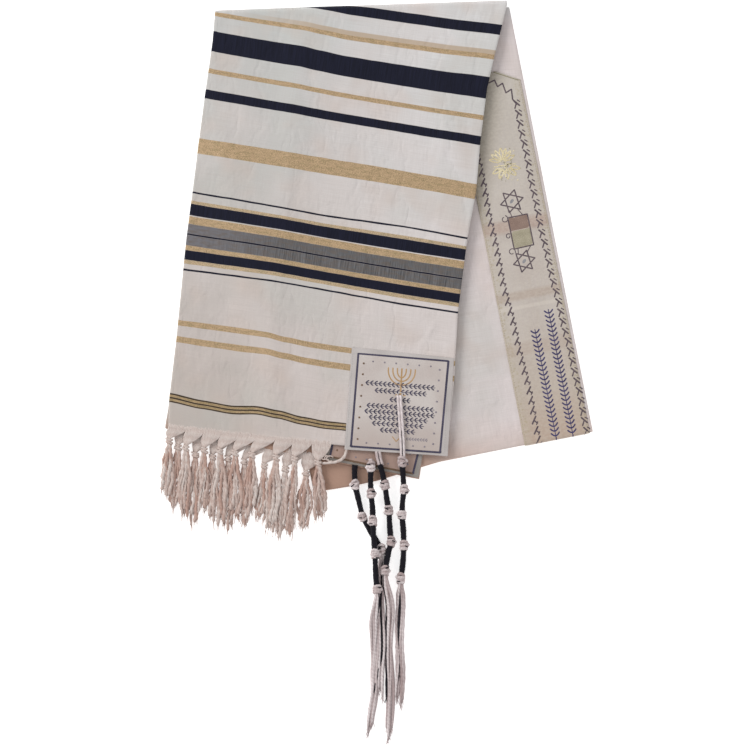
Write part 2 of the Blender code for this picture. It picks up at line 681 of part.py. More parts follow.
def make_tzitzit(number, spec):
    """One corner tassel: a cord wound between its knots, then eight loose strands."""
    points = []
    faces = []
    border = [(column, 0) for column in range(CORD_COLUMNS + 1)]
    border += [(CORD_COLUMNS, row) for row in range(1, CORD_ROWS + 1)]
    border += [(column, CORD_ROWS) for column in range(CORD_COLUMNS - 1, -1, -1)]
    border += [(0, row) for row in range(CORD_ROWS - 1, 0, -1)]
    centres = [(np.asarray(place), 1.9) for place in spec["way"]]
    knots = [np.asarray(place) for place in spec["knots"]]
    for order, knot in enumerate(knots):
        before = knots[order - 1] if order else centres[-1][0]
        after = knots[order + 1] if order + 1 < len(knots) else np.array([*spec["ends"][0], knot[2]])
        into = unit_rows(knot - before)
        out = unit_rows(after - knot)
        centres += [(knot - into * 4.4, WOUND_RADIUS), (knot - into * 1.9, KNOT_RADIUS)]
        centres += [(knot + out * 1.9, KNOT_RADIUS), (knot + out * 4.4, WOUND_RADIUS)]
    rings = []
    for order, (centre, radius) in enumerate(centres):
        before = centres[max(order - 1, 0)][0]
        after = centres[min(order + 1, len(centres) - 1)][0]
        run = unit_rows(after - before)
        side = unit_rows(np.cross(run, (0.0, 0.0, 1.0)))
        up = np.cross(side, run)
        ring = []
        for column, row in border:
            angle = math.atan2(row - CORD_ROWS / 2.0, (column - CORD_COLUMNS / 2.0) * 0.8)
            ring.append(len(points))
            points.append(centre + radius * (side * math.cos(angle) + up * math.sin(angle)))
        rings.append(ring)
    faces.append(list(rings[0]))
    for first, second in zip(rings, rings[1:]):
        for corner in range(len(border)):
            following = (corner + 1) % len(border)
            faces.append([first[corner], first[following], second[following], second[corner]])
    last_centre = centres[-1][0]
    inner_of = {place: rings[-1][order] for order, place in enumerate(border)}
    for column in range(1, CORD_COLUMNS):
        for row in range(1, CORD_ROWS):
            inner_of[column, row] = len(points)
            points.append(last_centre + np.array([-(column - CORD_COLUMNS / 2.0) * 1.3, -0.4, 0.0]))
    turn, end = (np.asarray(place) for place in spec["ends"])
    for column in range(CORD_COLUMNS):
        for row in range(CORD_ROWS):
            before = [inner_of[column, row], inner_of[column + 1, row], inner_of[column + 1, row + 1],
                      inner_of[column, row + 1]]
            shift = -(column + 0.5 - CORD_COLUMNS / 2.0)
            layer = row + 0.5 - CORD_ROWS / 2.0
            reach = 1.0 - 0.06 * ((column * 3 + row * 5 + number) % 4) / 3.0
            for share in (0.08, 0.2, 0.4, 0.6, 0.8, 1.0):
                way = share * reach
                centre = mix(mix(last_centre[:2], turn, smooth(share / 0.25)), end, way)
                y = last_centre[1] + (end[1] - last_centre[1]) * way
                x = centre[0] + 0.5 * math.sin(11.0 * share) * smooth(share * 3.0)
                settle = smooth(share / spec["settle"])
                level = last_centre[2] * (1.0 - settle) + CORD_STRAND_LEVEL * settle
                after = []
                for side_x, side_z in ((1, -1), (-1, -1), (-1, 1), (1, 1)):
                    after.append(len(points))
                    points.append((x + shift * CORD_PITCH + side_x * STRAND_HALF, y,
                                   level + layer * 1.9 + side_z * STRAND_HALF))
                for corner in range(4):
                    following = (corner + 1) % 4
                    faces.append([before[corner], before[following], after[following], after[corner]])
                before = after
            faces.append(before)
    return add_object(f"tzitzit_{number}", points, faces, TASSEL_COLOUR, 0.8)


def centre_on_origin():
    """Move everything so that the origin lies at the middle of the shawl's underside."""
    pieces = list(bpy.context.scene.objects)
    corners = np.array([vertex.co for piece in pieces for vertex in piece.data.vertices])
    low = corners.min(axis=0)
    high = corners.max(axis=0)
    shift = ((low[0] + high[0]) / 2.0, (low[1] + high[1]) / 2.0, low[2])
    for piece in pieces:
        for vertex in piece.data.vertices:
            vertex.co.x -= shift[0]
            vertex.co.y -= shift[1]
            vertex.co.z -= shift[2]


def main():
    """Build the folded shawl."""
    for item in list(bpy.data.objects):
        bpy.data.objects.remove(item, do_unlink=True)
    make_under()
    make_back()
    make_neckband()
    make_second_end()
    make_lower_front()
    make_front()
    make_patches()
    front_left, front_right = front_edges(0.0)
    make_fringe("fringe_front", UPPER_TASSELS, front_left, front_right,
                (FRONT_BOTTOM + FRONT_TOP) / 2.0, UPPER_FRINGE)
    make_fringe("fringe_second", LOWER_TASSELS, SECOND_LOW_LEFT, SECOND_LOW_RIGHT,
                SECOND_HEIGHT / 2.0, LOWER_FRINGE)
    for number, spec in enumerate(TZITZIT, start=1):
        make_tzitzit(number, spec)
    centre_on_origin()


main()
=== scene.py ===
"""Looks of a tallit prayer shawl, folded in eight and laid flat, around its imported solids.

Lengths in the tables are sheet millimetres: x to the right, y towards the top fold, and z up
from the surface that the shawl lies on. The cloth's own sizes are u, across the half width,
and v, the distance along the cloth from its fringed end.
"""
import math

import bpy
import numpy as np
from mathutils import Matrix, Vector


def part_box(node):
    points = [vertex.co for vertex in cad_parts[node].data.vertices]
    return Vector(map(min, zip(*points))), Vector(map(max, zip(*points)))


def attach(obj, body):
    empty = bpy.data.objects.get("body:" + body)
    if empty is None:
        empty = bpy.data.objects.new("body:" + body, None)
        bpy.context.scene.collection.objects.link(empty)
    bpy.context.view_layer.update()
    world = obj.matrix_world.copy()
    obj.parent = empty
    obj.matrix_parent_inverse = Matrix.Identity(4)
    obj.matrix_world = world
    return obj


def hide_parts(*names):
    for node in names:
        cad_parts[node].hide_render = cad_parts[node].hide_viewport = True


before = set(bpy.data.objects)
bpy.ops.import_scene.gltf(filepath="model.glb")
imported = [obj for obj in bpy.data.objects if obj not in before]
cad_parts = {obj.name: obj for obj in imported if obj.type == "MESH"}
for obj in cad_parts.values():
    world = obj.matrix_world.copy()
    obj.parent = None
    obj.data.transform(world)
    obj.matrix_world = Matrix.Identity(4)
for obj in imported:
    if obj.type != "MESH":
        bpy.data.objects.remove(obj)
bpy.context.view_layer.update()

MM = 0.001
FULL_TURN = 2.0 * math.pi
PATCH_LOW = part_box("corner_patch_front")[0]
SHIFT = np.array([PATCH_LOW.x / MM + 31.0, PATCH_LOW.y / MM + 83.5, 0.0])
FLOOR_CLEARANCE = 0.00002

# Levels, as in the solids
GAP = 0.3
BAND_WALL = 0.8
SECOND_TOP = 2.8
FRONT_TOP = 6.1
PANEL_TOP = 4.2
BAND_RISE = 1.1
FOLD_HEIGHT = 10.6
FOLD_AXIS = FOLD_HEIGHT / 2.0
HALF_WIDTH = 280.0
CURL_RADIUS = 1.9

# The thin shells that show, and the levels of each quarter's layers away from and at their folds
SHELL = 0.8
TRIM_SHELL = 0.55
LOWER_FRONT_LEVEL = 4.2
LOWER_SECOND_LEVEL = 0.35
LOWER_BACK_LEVEL = 2.4
UNDER_LEVEL = 1.85
LOWER_FRONT_AT_FOLD = 8.8
SECOND_AT_FOLD = 8.1
LOWER_SECOND_AT_FOLD = 5.7

# Front quarter: distance along the cloth from its fringed end, then both edges at that distance
FRONT_ROWS = (
    # along, left_x, left_y, right_x, right_y
    (0.0, -208.0, -56.0, 71.0, -85.0),
    (29.5, -207.0, -26.5, 73.0, -61.0),
    (88.0, -200.0, 32.0, 78.0, -5.0),
    (157.0, -193.2, 101.4, 81.5, 58.0),
    (188.0, -190.0, 132.0, 85.0, 87.0),
    (234.0, -184.0, 178.3, 91.0, 132.0),
    (282.0, -178.0, 225.5, 99.7, 179.5),
    (332.0, -171.0, 276.5, 104.0, 229.5),
    (386.0, -163.3, 329.5, 110.6, 282.0),
    (413.0, -161.0, 357.5, 118.0, 314.5),
    (471.0, -157.0, 414.0, 132.0, 371.0),
)
FOLD_ALONG_LEFT = 416.5
FOLD_ALONG_RIGHT = 471.0

# Corners of the folded back, and of the second end under the front
BACK_TOP_LEFT = (-161.0, 361.0)
BACK_TOP_RIGHT = (132.0, 371.0)
BACK_LOW_RIGHT = (217.0, -61.0)
BACK_LOW_LEFT = (-63.0, -116.0)
SECOND_LOW_LEFT = (-210.5, -57.5)
SECOND_LOW_RIGHT = (43.0, -108.0)
SECOND_TOP_RIGHT = (108.0, 330.0)
SECOND_FOLD_RIGHT = (130.5, 366.0)

# Neckband on the back
BAND_WIDTH = 66.0
BAND_INSET = 3.0
BAND_START = 368.0
BAND_END_LOW = 358.5
BAND_END_SLOPE = 0.578

# How far the neck fold bows out past its straight line, from its left end
FOLD_BOW_PLACES = (0.0, 0.075, 0.14, 0.225, 0.275, 0.364, 0.454)
FOLD_BOW = (5.5, 6.5, 7.0, 6.6, 5.2, 2.4, 0.0)

# Slopes beside the folded back
SIDE_SLOPE_START = 12.0
SIDE_SLOPE = 42.0
LOW_SLOPE_START = 5.0
LOW_SLOPE = 22.0
BAND_SLOPE_START = 10.0
BAND_SLOPE = 60.0

# Corner patches
PATCH_SIDE = 96.0
SECOND_PATCH_ALONG = (-0.981, 0.195)
SECOND_PATCH_UP = (0.195, 0.981)
RECESS_MARGIN = 26.0
RECESS_SLOPE = 20.0
FRONT_PATCH = ((-31.0, -77.0), (70.0, -83.5), (74.0, 11.0), (-24.0, 19.5))
FRONT_PATCH_EDGES = {"left": -0.2, "low": -1.2, "right": (97.4, 99.6), "top": (100.2, 98.0)}
SECOND_PATCH_EDGES = {"left": 0.0, "low": -1.2, "right": (96.0, 96.0), "top": (94.8, 94.8)}

# Creases of the front: the solids' own, then the finer ones
RIDGE_HEIGHT = 1.5
RIDGE_AT_FOLD = 0.317
RIDGE_AT_END = 0.357
RIDGE_WIDTH = 0.045
WAVE_HEIGHT = 0.6
RIPPLES = (
    # x, y, length, half_width, turn, height
    (40.0, 52.0, 24.0, 5.0, -0.45, 1.0),
    (52.0, 60.0, 16.0, 4.0, -0.2, 0.8),
    (50.0, 32.0, 22.0, 4.0, 1.05, 0.6),
    (-120.0, 120.0, 46.0, 9.0, 1.2, 0.7),
    (-60.0, 270.0, 60.0, 10.0, 1.35, 0.6),
    (-150.0, 10.0, 34.0, 8.0, 0.2, 0.8),
)
BACK_RIPPLES = (
    (139.0, 142.0, 44.0, 6.0, 0.3, 1.1),
    (162.0, 75.0, 16.0, 5.0, 0.25, 0.7),
    (120.0, -20.0, 60.0, 10.0, -1.3, 0.6),
)
FINE_FRONT = (
    (62.0, 156.0, 22.0, 1.6, 1.32, 0.5),
    (50.0, 31.0, 20.0, 1.3, 1.09, 0.55),
    (33.0, 57.0, 15.0, 1.6, -0.5, -0.5),
    (46.0, 49.0, 12.0, 1.4, -0.25, -0.45),
    (28.0, 44.0, 17.0, 2.2, -0.1, 0.4),
    (-70.0, 200.0, 70.0, 2.4, 1.62, 0.35),
    (-95.0, -20.0, 26.0, 3.0, 0.9, 0.35),
    (-140.0, -35.0, 30.0, 2.6, 0.12, -0.35),
    (-30.0, 90.0, 40.0, 4.0, 1.7, 0.4),
    (10.0, 130.0, 36.0, 5.0, 1.45, 0.35),
    (-150.0, 250.0, 44.0, 6.0, 1.5, 0.4),
    (-20.0, 300.0, 40.0, 5.0, 1.1, 0.35),
    (70.0, 250.0, 46.0, 5.0, 1.4, 0.4),
    (-175.0, 70.0, 30.0, 4.0, 1.4, 0.35),
    (60.0, 110.0, 30.0, 3.5, 0.7, -0.3),
)
FINE_BACK = (
    (150.0, 150.0, 40.0, 2.0, -0.3, 0.5),
    (120.0, 60.0, 60.0, 5.0, 1.75, 0.4),
    (140.0, 0.0, 40.0, 4.0, 0.5, -0.35),
    (100.0, -70.0, 50.0, 5.0, 0.2, 0.45),
    (20.0, -96.0, 40.0, 4.0, 0.15, 0.3),
    (185.0, -10.0, 30.0, 3.0, 0.3, 0.3),
    (105.0, 230.0, 40.0, 3.0, 1.8, 0.35),
)

# Fringe of both ends: where each tassel leaves the cloth, its knot and where its strands end
UPPER_TASSELS = (
    # root_x, knot_x, knot_y, end_x, end_y
    (-198.0, -207.0, -70.0, -211.0, -128.0),
    (-180.0, -190.0, -77.0, -194.0, -148.0),
    (-162.0, -172.0, -79.0, -175.0, -141.0),
    (-144.0, -156.0, -80.0, -158.0, -156.0),
    (-126.0, -141.0, -82.0, -142.0, -150.0),
    (-108.0, -124.0, -84.0, -127.0, -146.0),
    (-90.0, -100.0, -86.5, -105.0, -163.0),
    (-72.0, -81.0, -88.0, -88.0, -167.0),
    (-54.0, -58.0, -92.0, -57.0, -151.0),
)
LOWER_TASSELS = (
    (-190.0, -198.5, -76.0, -203.0, -138.0),
    (-172.0, -181.0, -84.0, -184.0, -155.0),
    (-154.0, -164.0, -86.0, -166.0, -148.0),
    (-136.0, -148.5, -88.0, -150.0, -160.0),
    (-118.0, -132.0, -91.0, -133.0, -157.0),
    (-100.0, -112.0, -95.0, -116.0, -151.0),
    (-82.0, -90.5, -98.0, -97.0, -168.0),
    (-64.0, -70.0, -102.0, -73.0, -160.0),
)
UPPER_LEVELS = {"strand": 4.3, "knot": 5.2, "root": 5.5, "surface": 6.1}
LOWER_LEVELS = {"strand": 1.25, "knot": 1.9, "root": 1.4, "surface": 2.8}

# Corner tassels: the cord's way, with the knots that hold its windings
TZITZIT = (
    {
        "way": ((23.0, -24.0, 14.0), (25.5, -60.0, 14.0), (26.5, -82.0, 14.2)),
        "knots": ((26.0, -91.0, 13.0), (28.0, -119.0, 9.2), (26.0, -144.0, 5.0), (28.0, -175.0, 5.0),
                  (25.0, -208.0, 5.0)),
        "ends": ((24.5, -222.0), (24.0, -336.0)),
        "settle": 0.12,
        "start": "long",
    },
    {
        "way": ((2.4, -82.0, 9.8),),
        "knots": ((3.2, -90.0, 12.4), (9.0, -114.0, 9.8), (13.0, -140.0, 5.4), (15.0, -171.0, 5.8),
                  (9.0, -200.0, 9.6)),
        "ends": ((13.3, -222.0), (13.6, -371.0)),
        "settle": 0.4,
        "start": "doubled",
    },
    {
        "way": ((-5.3, -88.0, 10.2),),
        "knots": ((-5.0, -96.0, 12.4), (-5.0, -122.5, 9.0), (-3.0, -150.0, 10.6), (-1.0, -183.0, 12.8),
                  (1.0, -218.0, 9.8)),
        "ends": ((-5.0, -244.0), (-5.0, -364.0)),
        "bow": 4.5,
        "settle": 0.4,
        "start": "short",
    },
    {
        "way": ((-21.0, -98.0, 7.3), (-21.0, -104.0, 7.7)),
        "knots": ((-21.0, -114.0, 7.7), (-13.5, -146.0, 5.0), (6.0, -179.0, 4.9)),
        "ends": ((4.4, -198.0), (4.2, -330.0)),
        "settle": 0.12,
        "start": "wound",
    },
)
CORD_PITCH = 1.9
CORD_STRAND_LEVEL = 2.3

# Woven stripes: start and end along the cloth from its fringed end, and the yarn
STRIPES = (
    # start, end, yarn
    (25.0, 26.5, "olive_dark"),
    (26.5, 28.6, "olive_light"),
    (28.6, 30.3, "olive_dark"),
    (30.3, 32.4, "olive_light"),
    (32.4, 34.0, "olive_dark"),
    (85.0, 91.0, "gold"),
    (101.6, 107.0, "gold"),
    (156.4, 158.3, "navy"),
    (163.4, 167.4, "pale_gold"),
    (167.4, 177.2, "navy"),
    (177.2, 182.0, "gold"),
    (182.0, 192.2, "heather"),
    (192.2, 194.0, "navy"),
    (194.0, 203.4, "heather"),
    (203.4, 211.0, "gold"),
    (212.0, 223.3, "navy"),
    (223.3, 226.4, "pale_gold"),
    (233.6, 235.4, "navy"),
    (274.0, 289.0, "gold"),
    (328.0, 337.0, "navy"),
    (353.5, 358.3, "gold"),
    (375.6, 395.5, "navy"),
    (410.0, 414.2, "gold"),
    (434.6, 445.0, "navy"),
)
YARNS = {
    "navy": (0.0075, 0.0085, 0.021),
    "gold": (0.385, 0.275, 0.160),
    "pale_gold": (0.42, 0.33, 0.215),
    "heather": (0.117, 0.116, 0.122),
    "olive_dark": (0.052, 0.036, 0.021),
    "olive_light": (0.30, 0.215, 0.105),
}

# How far the stripes drift towards the fringed end from a straight run, at places across the front
DRIFT_ACROSS = (0.0, 0.12, 0.22, 0.32, 0.39, 0.48, 0.56, 0.63, 0.8, 1.0)
STRIPE_DRIFT = (
    # along, then the drift at each place across
    (34.0, 0.0, 3.2, 4.8, 2.3, 3.8, 7.4, 9.0, 8.6, 6.0, 3.0),
    (107.0, 0.0, -0.5, -0.6, -0.3, 2.0, 3.4, 3.7, 3.8, 3.4, 2.6),
    (157.0, 0.0, -1.0, -1.8, -2.6, -2.5, -2.0, -1.5, -0.8, 0.3, 0.0),
    (172.0, 0.0, -0.6, -1.1, -1.6, -1.3, -0.8, -0.4, 0.0, 0.1, 0.0),
    (217.0, 0.0, 0.0, -0.1, -0.2, 0.0, 0.4, 0.6, 0.7, 0.6, 0.0),
    (234.0, 0.0, 0.2, 0.4, 0.7, 1.0, 1.4, 0.8, 0.0, -1.0, 0.0),
    (289.0, 0.0, -0.3, -0.5, -0.8, -0.9, -1.0, -1.2, -1.3, -0.8, 0.0),
    (337.0, 0.0, 0.1, 0.2, 0.3, 0.8, 1.0, 1.0, 0.9, 0.8, 0.0),
    (395.0, 0.0, 0.3, 0.4, 0.2, 1.4, 2.5, 2.4, 2.2, 1.8, 0.0),
)

# Sprigs of the neckband's borders: from, to and width of each stroke, beside its place in the column
RIGHT_SPRIG = ((2.7, 4.0, -2.2, -2.0, 2.05), (0.4, 1.0, 3.0, -4.0, 1.75), (-0.9, 3.9, -3.1, 1.9, 1.4))
LEFT_SPRIG = ((-2.5, 3.9, 2.4, -2.9, 2.05), (0.2, 0.5, -2.9, -3.0, 1.75), (-1.6, -4.3, -3.4, -1.6, 1.4))
BAND_ZIGZAG = (
    (11.3, 336.5), (14.4, 342.3), (13.6, 352.4), (19.7, 350.0), (21.2, 360.0), (26.8, 357.6),
    (28.4, 364.6), (34.5, 363.0),
)
GOLD_SPRAYS = (
    # centre, leaves, middle turn, step, reach across, reach up, leaf length, leaf width, stroke
    ((36.2, 283.0), 7, math.pi / 2.0, 0.42, 7.6, 7.6, 11.5, 3.2, 1.5),
    ((34.3, 277.0), 5, -math.pi / 2.0, 0.62, 9.72, 7.2, 10.0, 3.6, 1.6),
)
PATCH_FRAME = ((5.6, 2.2), (90.2, 1.8), (94.3, 94.6), (6.4, 94.4))
PATCH_ROWS = (
    # up, left, right
    (66.4, 15.3, 82.6),
    (59.6, 24.6, 74.7),
    (51.5, 39.5, 59.5),
    (44.1, 17.8, 82.7),
    (38.3, 16.1, 83.4),
    (32.6, 20.7, 77.0),
    (26.8, 24.0, 73.4),
    (20.5, 32.0, 65.5),
)
STITCH_EDGE = -0.06
PRINT_LEVEL = 1.02
KNOT_RADIUS = 2.9

# Threads and yarns: name, tones from dark to light, and roughness or sheen; a yarn's first tone is painted
# shade in the grooves of its twist
BAND_THREADS = (
    ("thread_outline", (0.055, 0.040, 0.055), (0.16, 0.125, 0.135)),
    ("thread_blue", (0.020, 0.018, 0.075), (0.085, 0.075, 0.175)),
    ("thread_brown", (0.20, 0.135, 0.11), (0.29, 0.205, 0.17)),
    ("thread_olive", (0.28, 0.25, 0.175), (0.44, 0.40, 0.30)),
    ("thread_gold", (0.47, 0.38, 0.20), (0.84, 0.76, 0.53), 0.4),
    ("thread_grey", (0.20, 0.20, 0.22), (0.33, 0.32, 0.33)),
    ("thread_seam", (0.20, 0.18, 0.12), (0.32, 0.29, 0.20)),
)
PATCH_THREADS = (
    ("print_navy", (0.028, 0.026, 0.050), (0.090, 0.080, 0.125)),
    ("print_gold", (0.37, 0.225, 0.105), (0.49, 0.325, 0.18)),
    # print_brown also draws the second patch's lower frame line in painted warm shade
    ("print_brown", (0.10, 0.058, 0.036), (0.22, 0.14, 0.09)),
    ("print_grey", (0.18, 0.16, 0.19), (0.30, 0.27, 0.30)),
    ("stitch_white", (0.58, 0.54, 0.52), (0.72, 0.69, 0.67)),
)
YARN_TONES = (
    ("fringe_yarn", (0.30, 0.165, 0.13), (0.47, 0.32, 0.27), (0.645, 0.575, 0.54), 0.1),
    ("tassel_white", (0.23, 0.155, 0.155), (0.355, 0.265, 0.26), (0.77, 0.70, 0.705), 0.1),
    ("tassel_navy", (0.003, 0.003, 0.005), (0.008, 0.007, 0.011), (0.013, 0.011, 0.018), 0.05),
)

# Camera and floor: lens and sensor in millimetres, the rest in metres
FRAME_WIDTH = 0.750
LENS = 100.0
SENSOR_WIDTH = 36.0
FLOOR_REACH = 40.0
FLOOR_LEVEL = -0.0002


def smooth(value):
    """Rise from 0 to 1 with level ends."""
    value = np.clip(value, 0.0, 1.0)
    return value * value * (3.0 - 2.0 * value)


def mix(start, end, share):
    """Point or value between two others."""
    return np.asarray(start, float) * (1.0 - share) + np.asarray(end, float) * share


def unit_rows(vectors):
    """Vectors of length 1."""
    return vectors / np.linalg.norm(vectors, axis=-1, keepdims=True)


def circle(count, closed=False):
    """Points of a unit circle, evenly spaced; a closed one ends where it starts."""
    angle = np.linspace(0.0, FULL_TURN, count, endpoint=closed)
    return np.cos(angle), np.sin(angle)


def line_normal(start, end):
    """Unit vector to the right of a line's run."""
    run = np.subtract(end, start)
    return np.array([run[1], -run[0]]) / math.hypot(*run)


def inside_distance(x, y, start, end):
    """Distance of a point from a line, positive on its left side."""
    run = np.subtract(end, start)
    return (run[0] * (y - start[1]) - run[1] * (x - start[0])) / math.hypot(*run)


def ripple(x, y, table):
    """Height of the short creases at one place."""
    total = 0.0
    for centre_x, centre_y, length, half_width, turn, height in table:
        along = (x - centre_x) * math.cos(turn) + (y - centre_y) * math.sin(turn)
        across = (y - centre_y) * math.cos(turn) - (x - centre_x) * math.sin(turn)
        total = total + height * np.exp(-((along / length) ** 2) - (across / half_width) ** 2)
    return total


def band_share(x, y):
    """1 on the neckband's part of the back, falling to 0 well outside it."""
    edge = inside_distance(x, y, BACK_LOW_RIGHT, BACK_TOP_RIGHT)
    over_start = y - (BACK_TOP_RIGHT[1] - 72.0)
    beside = edge - BAND_INSET - BAND_WIDTH
    return (smooth(1.0 - (beside - BAND_SLOPE_START) / BAND_SLOPE)
            * smooth(1.0 - (over_start - BAND_SLOPE_START) / BAND_SLOPE))


def second_patch_share(x, y):
    """1 under the second end's patch, falling to 0 well outside it."""
    right = x - SECOND_LOW_RIGHT[0]
    up = y - SECOND_LOW_RIGHT[1]
    share = 1.0
    for way in (SECOND_PATCH_ALONG, SECOND_PATCH_UP):
        past = right * way[0] + up * way[1] - PATCH_SIDE - RECESS_MARGIN
        share = share * smooth(1.0 - past / RECESS_SLOPE)
    return share


def front_flatness(across, along):
    """1 under the front's patch, where the cloth lies flat, falling to 0 beside it."""
    return smooth((across - 0.42) / 0.1) * smooth((135.0 - along) / 22.0)


def back_lift(x, y):
    """Creases of the back, only where it shows."""
    shows = smooth(inside_distance(x, y, FRONT_ROWS[0][3:], FRONT_ROWS[-2][3:]) / -14.0)
    coarse = ripple(x, y, BACK_RIPPLES) * smooth((y + 40.0) / 40.0)
    return (coarse + ripple(x, y, FINE_BACK)) * shows


def support(x, y):
    """Level that carries the upper layers: the back with its neckband, sloping to the floor beside it."""
    outside = -inside_distance(x, y, BACK_TOP_LEFT, BACK_LOW_LEFT)
    side = smooth(1.0 - (outside - SIDE_SLOPE_START) / SIDE_SLOPE)
    return (PANEL_TOP + GAP + BAND_RISE * band_share(x, y)) * side


def drape(x, y):
    """Level that carries loose strands: as support, and sloping to the floor past the neck fold."""
    outside = -inside_distance(x, y, BACK_LOW_LEFT, BACK_LOW_RIGHT)
    return support(x, y) * smooth(1.0 - (outside - LOW_SLOPE_START) / LOW_SLOPE)


def front_edges(along):
    """Left and right edge of the front at each distance from its fringed end."""
    rows = np.asarray(FRONT_ROWS)
    values = [np.interp(along, rows[:, 0], rows[:, column]) for column in range(1, 5)]
    return np.stack(values[:2], axis=-1), np.stack(values[2:], axis=-1)


def front_along(across, share):
    """Distance from the fringed end: the top fold lies further along at the right edge."""
    return (FOLD_ALONG_LEFT + (FOLD_ALONG_RIGHT - FOLD_ALONG_LEFT) * across) * share


def stripe_drift(across, along):
    """How far the woven stripes have drifted at one place of the front."""
    table = np.asarray(STRIPE_DRIFT)
    columns = [np.interp(along, table[:, 0], values) for values in table[:, 1:].T]
    columns = np.stack(columns, axis=-1)
    place = np.interp(across, DRIFT_ACROSS, range(len(DRIFT_ACROSS)))
    low = np.minimum(place.astype(int), len(DRIFT_ACROSS) - 2)
    start, end = (np.take_along_axis(columns, low[..., None] + step, axis=-1)[..., 0] for step in range(2))
    return mix(start, end, smooth(place - low))


def end_shade(x, y):
    """Share of painted warm shade on what lies just under the front's fringed end."""
    below = smooth((-y - 48.0 - 0.06 * (x + 30.0)) / 34.0)
    return below * smooth((125.0 - x) / 110.0)


def front_wave(across, along):
    """Ridge and soft waves of the front's top layer."""
    share = along / FOLD_ALONG_LEFT
    ridge_at = RIDGE_AT_END + (RIDGE_AT_FOLD - RIDGE_AT_END) * share
    ridge = RIDGE_HEIGHT * np.exp(-(((across - ridge_at) / RIDGE_WIDTH) ** 2))
    wave = WAVE_HEIGHT * (1.0 + np.sin(9.0 * across + 5.0 * share) * np.cos(7.0 * share - 2.0 * across))
    return (ridge + wave) * smooth(share / 0.06)


def add_mesh(name, points, faces, material, nodes=(), values=None, marks=None):
    """Make one visible piece from points in sheet millimetres, and let it stand for its solids."""
    mesh = bpy.data.meshes.new(name)
    placed = (np.asarray(points, float) + SHIFT) * MM
    placed[:, 2] = np.maximum(placed[:, 2], FLOOR_CLEARANCE)
    mesh.from_pydata(placed.tolist(), [], [list(face) for face in faces])
    for label, vectors in (values or {}).items():
        layer = mesh.attributes.new(label, "FLOAT_VECTOR", "POINT")
        layer.data.foreach_set("vector", np.asarray(vectors, np.float32).ravel())
    for each in material if isinstance(material, list) else [material]:
        mesh.materials.append(each)
    if marks is not None:
        mesh.polygons.foreach_set("material_index", np.asarray(marks, np.int32))
    mesh.shade_smooth()
    piece = bpy.data.objects.new(name, mesh)
    bpy.context.scene.collection.objects.link(piece)
    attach(piece, "root")
    if nodes:
        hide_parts(*nodes)
    return piece


def net_faces(numbers):
    """Four-sided faces of a net of numbered points."""
    corners = [numbers[:-1, :-1], numbers[:-1, 1:], numbers[1:, 1:], numbers[1:, :-1]]
    return np.stack(corners, axis=-1).reshape(-1, 4)


def make_sheet(name, outer, wall, cloth, material, slot, nodes, **facts):
    """A thin shell with rounded edges, from its outer points and their cloth coordinates."""
    rows, columns = outer.shape[:2]
    inner = outer - wall * unit_rows(np.cross(np.gradient(outer, axis=1), np.gradient(outer, axis=0)))
    numbers = np.arange(rows * columns).reshape(rows, columns)
    quads = net_faces(numbers)
    faces = [quads, rows * columns + quads[:, ::-1]]
    border = np.concatenate([numbers[0, :], numbers[1:, -1], numbers[-1, -2::-1], numbers[-2:0:-1, 0]])
    row, column = np.divmod(border, columns)
    inward = outer[np.clip(row, 1, rows - 2), np.clip(column, 1, columns - 2)]
    away = unit_rows(outer[row, column] - inward)
    middle = (outer[row, column] + inner[row, column]) / 2.0 + away * wall * 0.42
    ring = np.arange(len(border)) + 2 * rows * columns
    for upper, lower in ((border, ring), (ring, rows * columns + border)):
        faces.append(np.stack([lower, np.roll(lower, -1), np.roll(upper, -1), upper], axis=-1))
    points = np.concatenate([outer.reshape(-1, 3), inner.reshape(-1, 3), middle])
    flat = cloth.reshape(-1, 3)
    coordinates = np.concatenate([flat, flat, flat[border]]) * MM
    piece = add_mesh(name, points, np.concatenate(faces), material, nodes, {"cloth": coordinates})
    return piece


def fold_quarter(top, lower, along, steps, bulge):
    """Join a quarter's layers round their lengthwise fold: lower layer, turn, then top layer."""
    away = unit_rows(top[:, 0, :2] - top[:, 1, :2])
    half = (top[:, 0, 2] - lower[:, 0, 2]) / 2.0
    turn = []
    for step in range(1, steps):
        angle = math.pi * step / steps
        column = (top[:, 0] + lower[:, 0]) / 2.0
        column[:, :2] = mix(lower[:, 0, :2], top[:, 0, :2], step / steps) + away * bulge * math.sin(angle)
        column[:, 2] -= half * math.cos(angle)
        turn.append(column[:, None])
    grid = np.concatenate([lower[:, ::-1]] + turn + [top], axis=1)
    share = np.linspace(1.0, 0.0, lower.shape[1])
    below = along[:, np.round(share * (along.shape[1] - 1)).astype(int)]
    cloth = np.zeros(grid.shape)
    cloth[..., 0] = np.concatenate([-4.0 - share * HALF_WIDTH, -np.linspace(3.0, 0.5, steps - 1),
                                    np.linspace(0.0, 1.0, top.shape[1]) * HALF_WIDTH])
    cloth[..., 1] = np.concatenate([below, np.repeat(along[:, :1], steps - 1, axis=1), along], axis=1)
    return grid, cloth


def carry_round(grid, cloth, axis_height, away, degrees, steps, length, at_start=False):
    """Carry a sheet on round a crosswise fold whose axis lies at one height."""
    edge = 0 if at_start else -1
    radius = grid[edge, :, 2] - axis_height
    rows = []
    cloth_rows = []
    for step in range(1, steps + 1):
        angle = math.radians(degrees) * step / steps
        row = grid[edge].copy()
        row[:, :2] += np.outer(radius * math.sin(angle), away)
        row[:, 2] = axis_height + radius * math.cos(angle)
        rows.append(row)
        cloth_row = cloth[edge].copy()
        cloth_row[:, 1] += length * step / steps
        cloth_rows.append(cloth_row)
    if at_start:
        return np.concatenate([rows[::-1], grid]), np.concatenate([cloth_rows[::-1], cloth])
    return np.concatenate([grid, rows]), np.concatenate([cloth, cloth_rows])


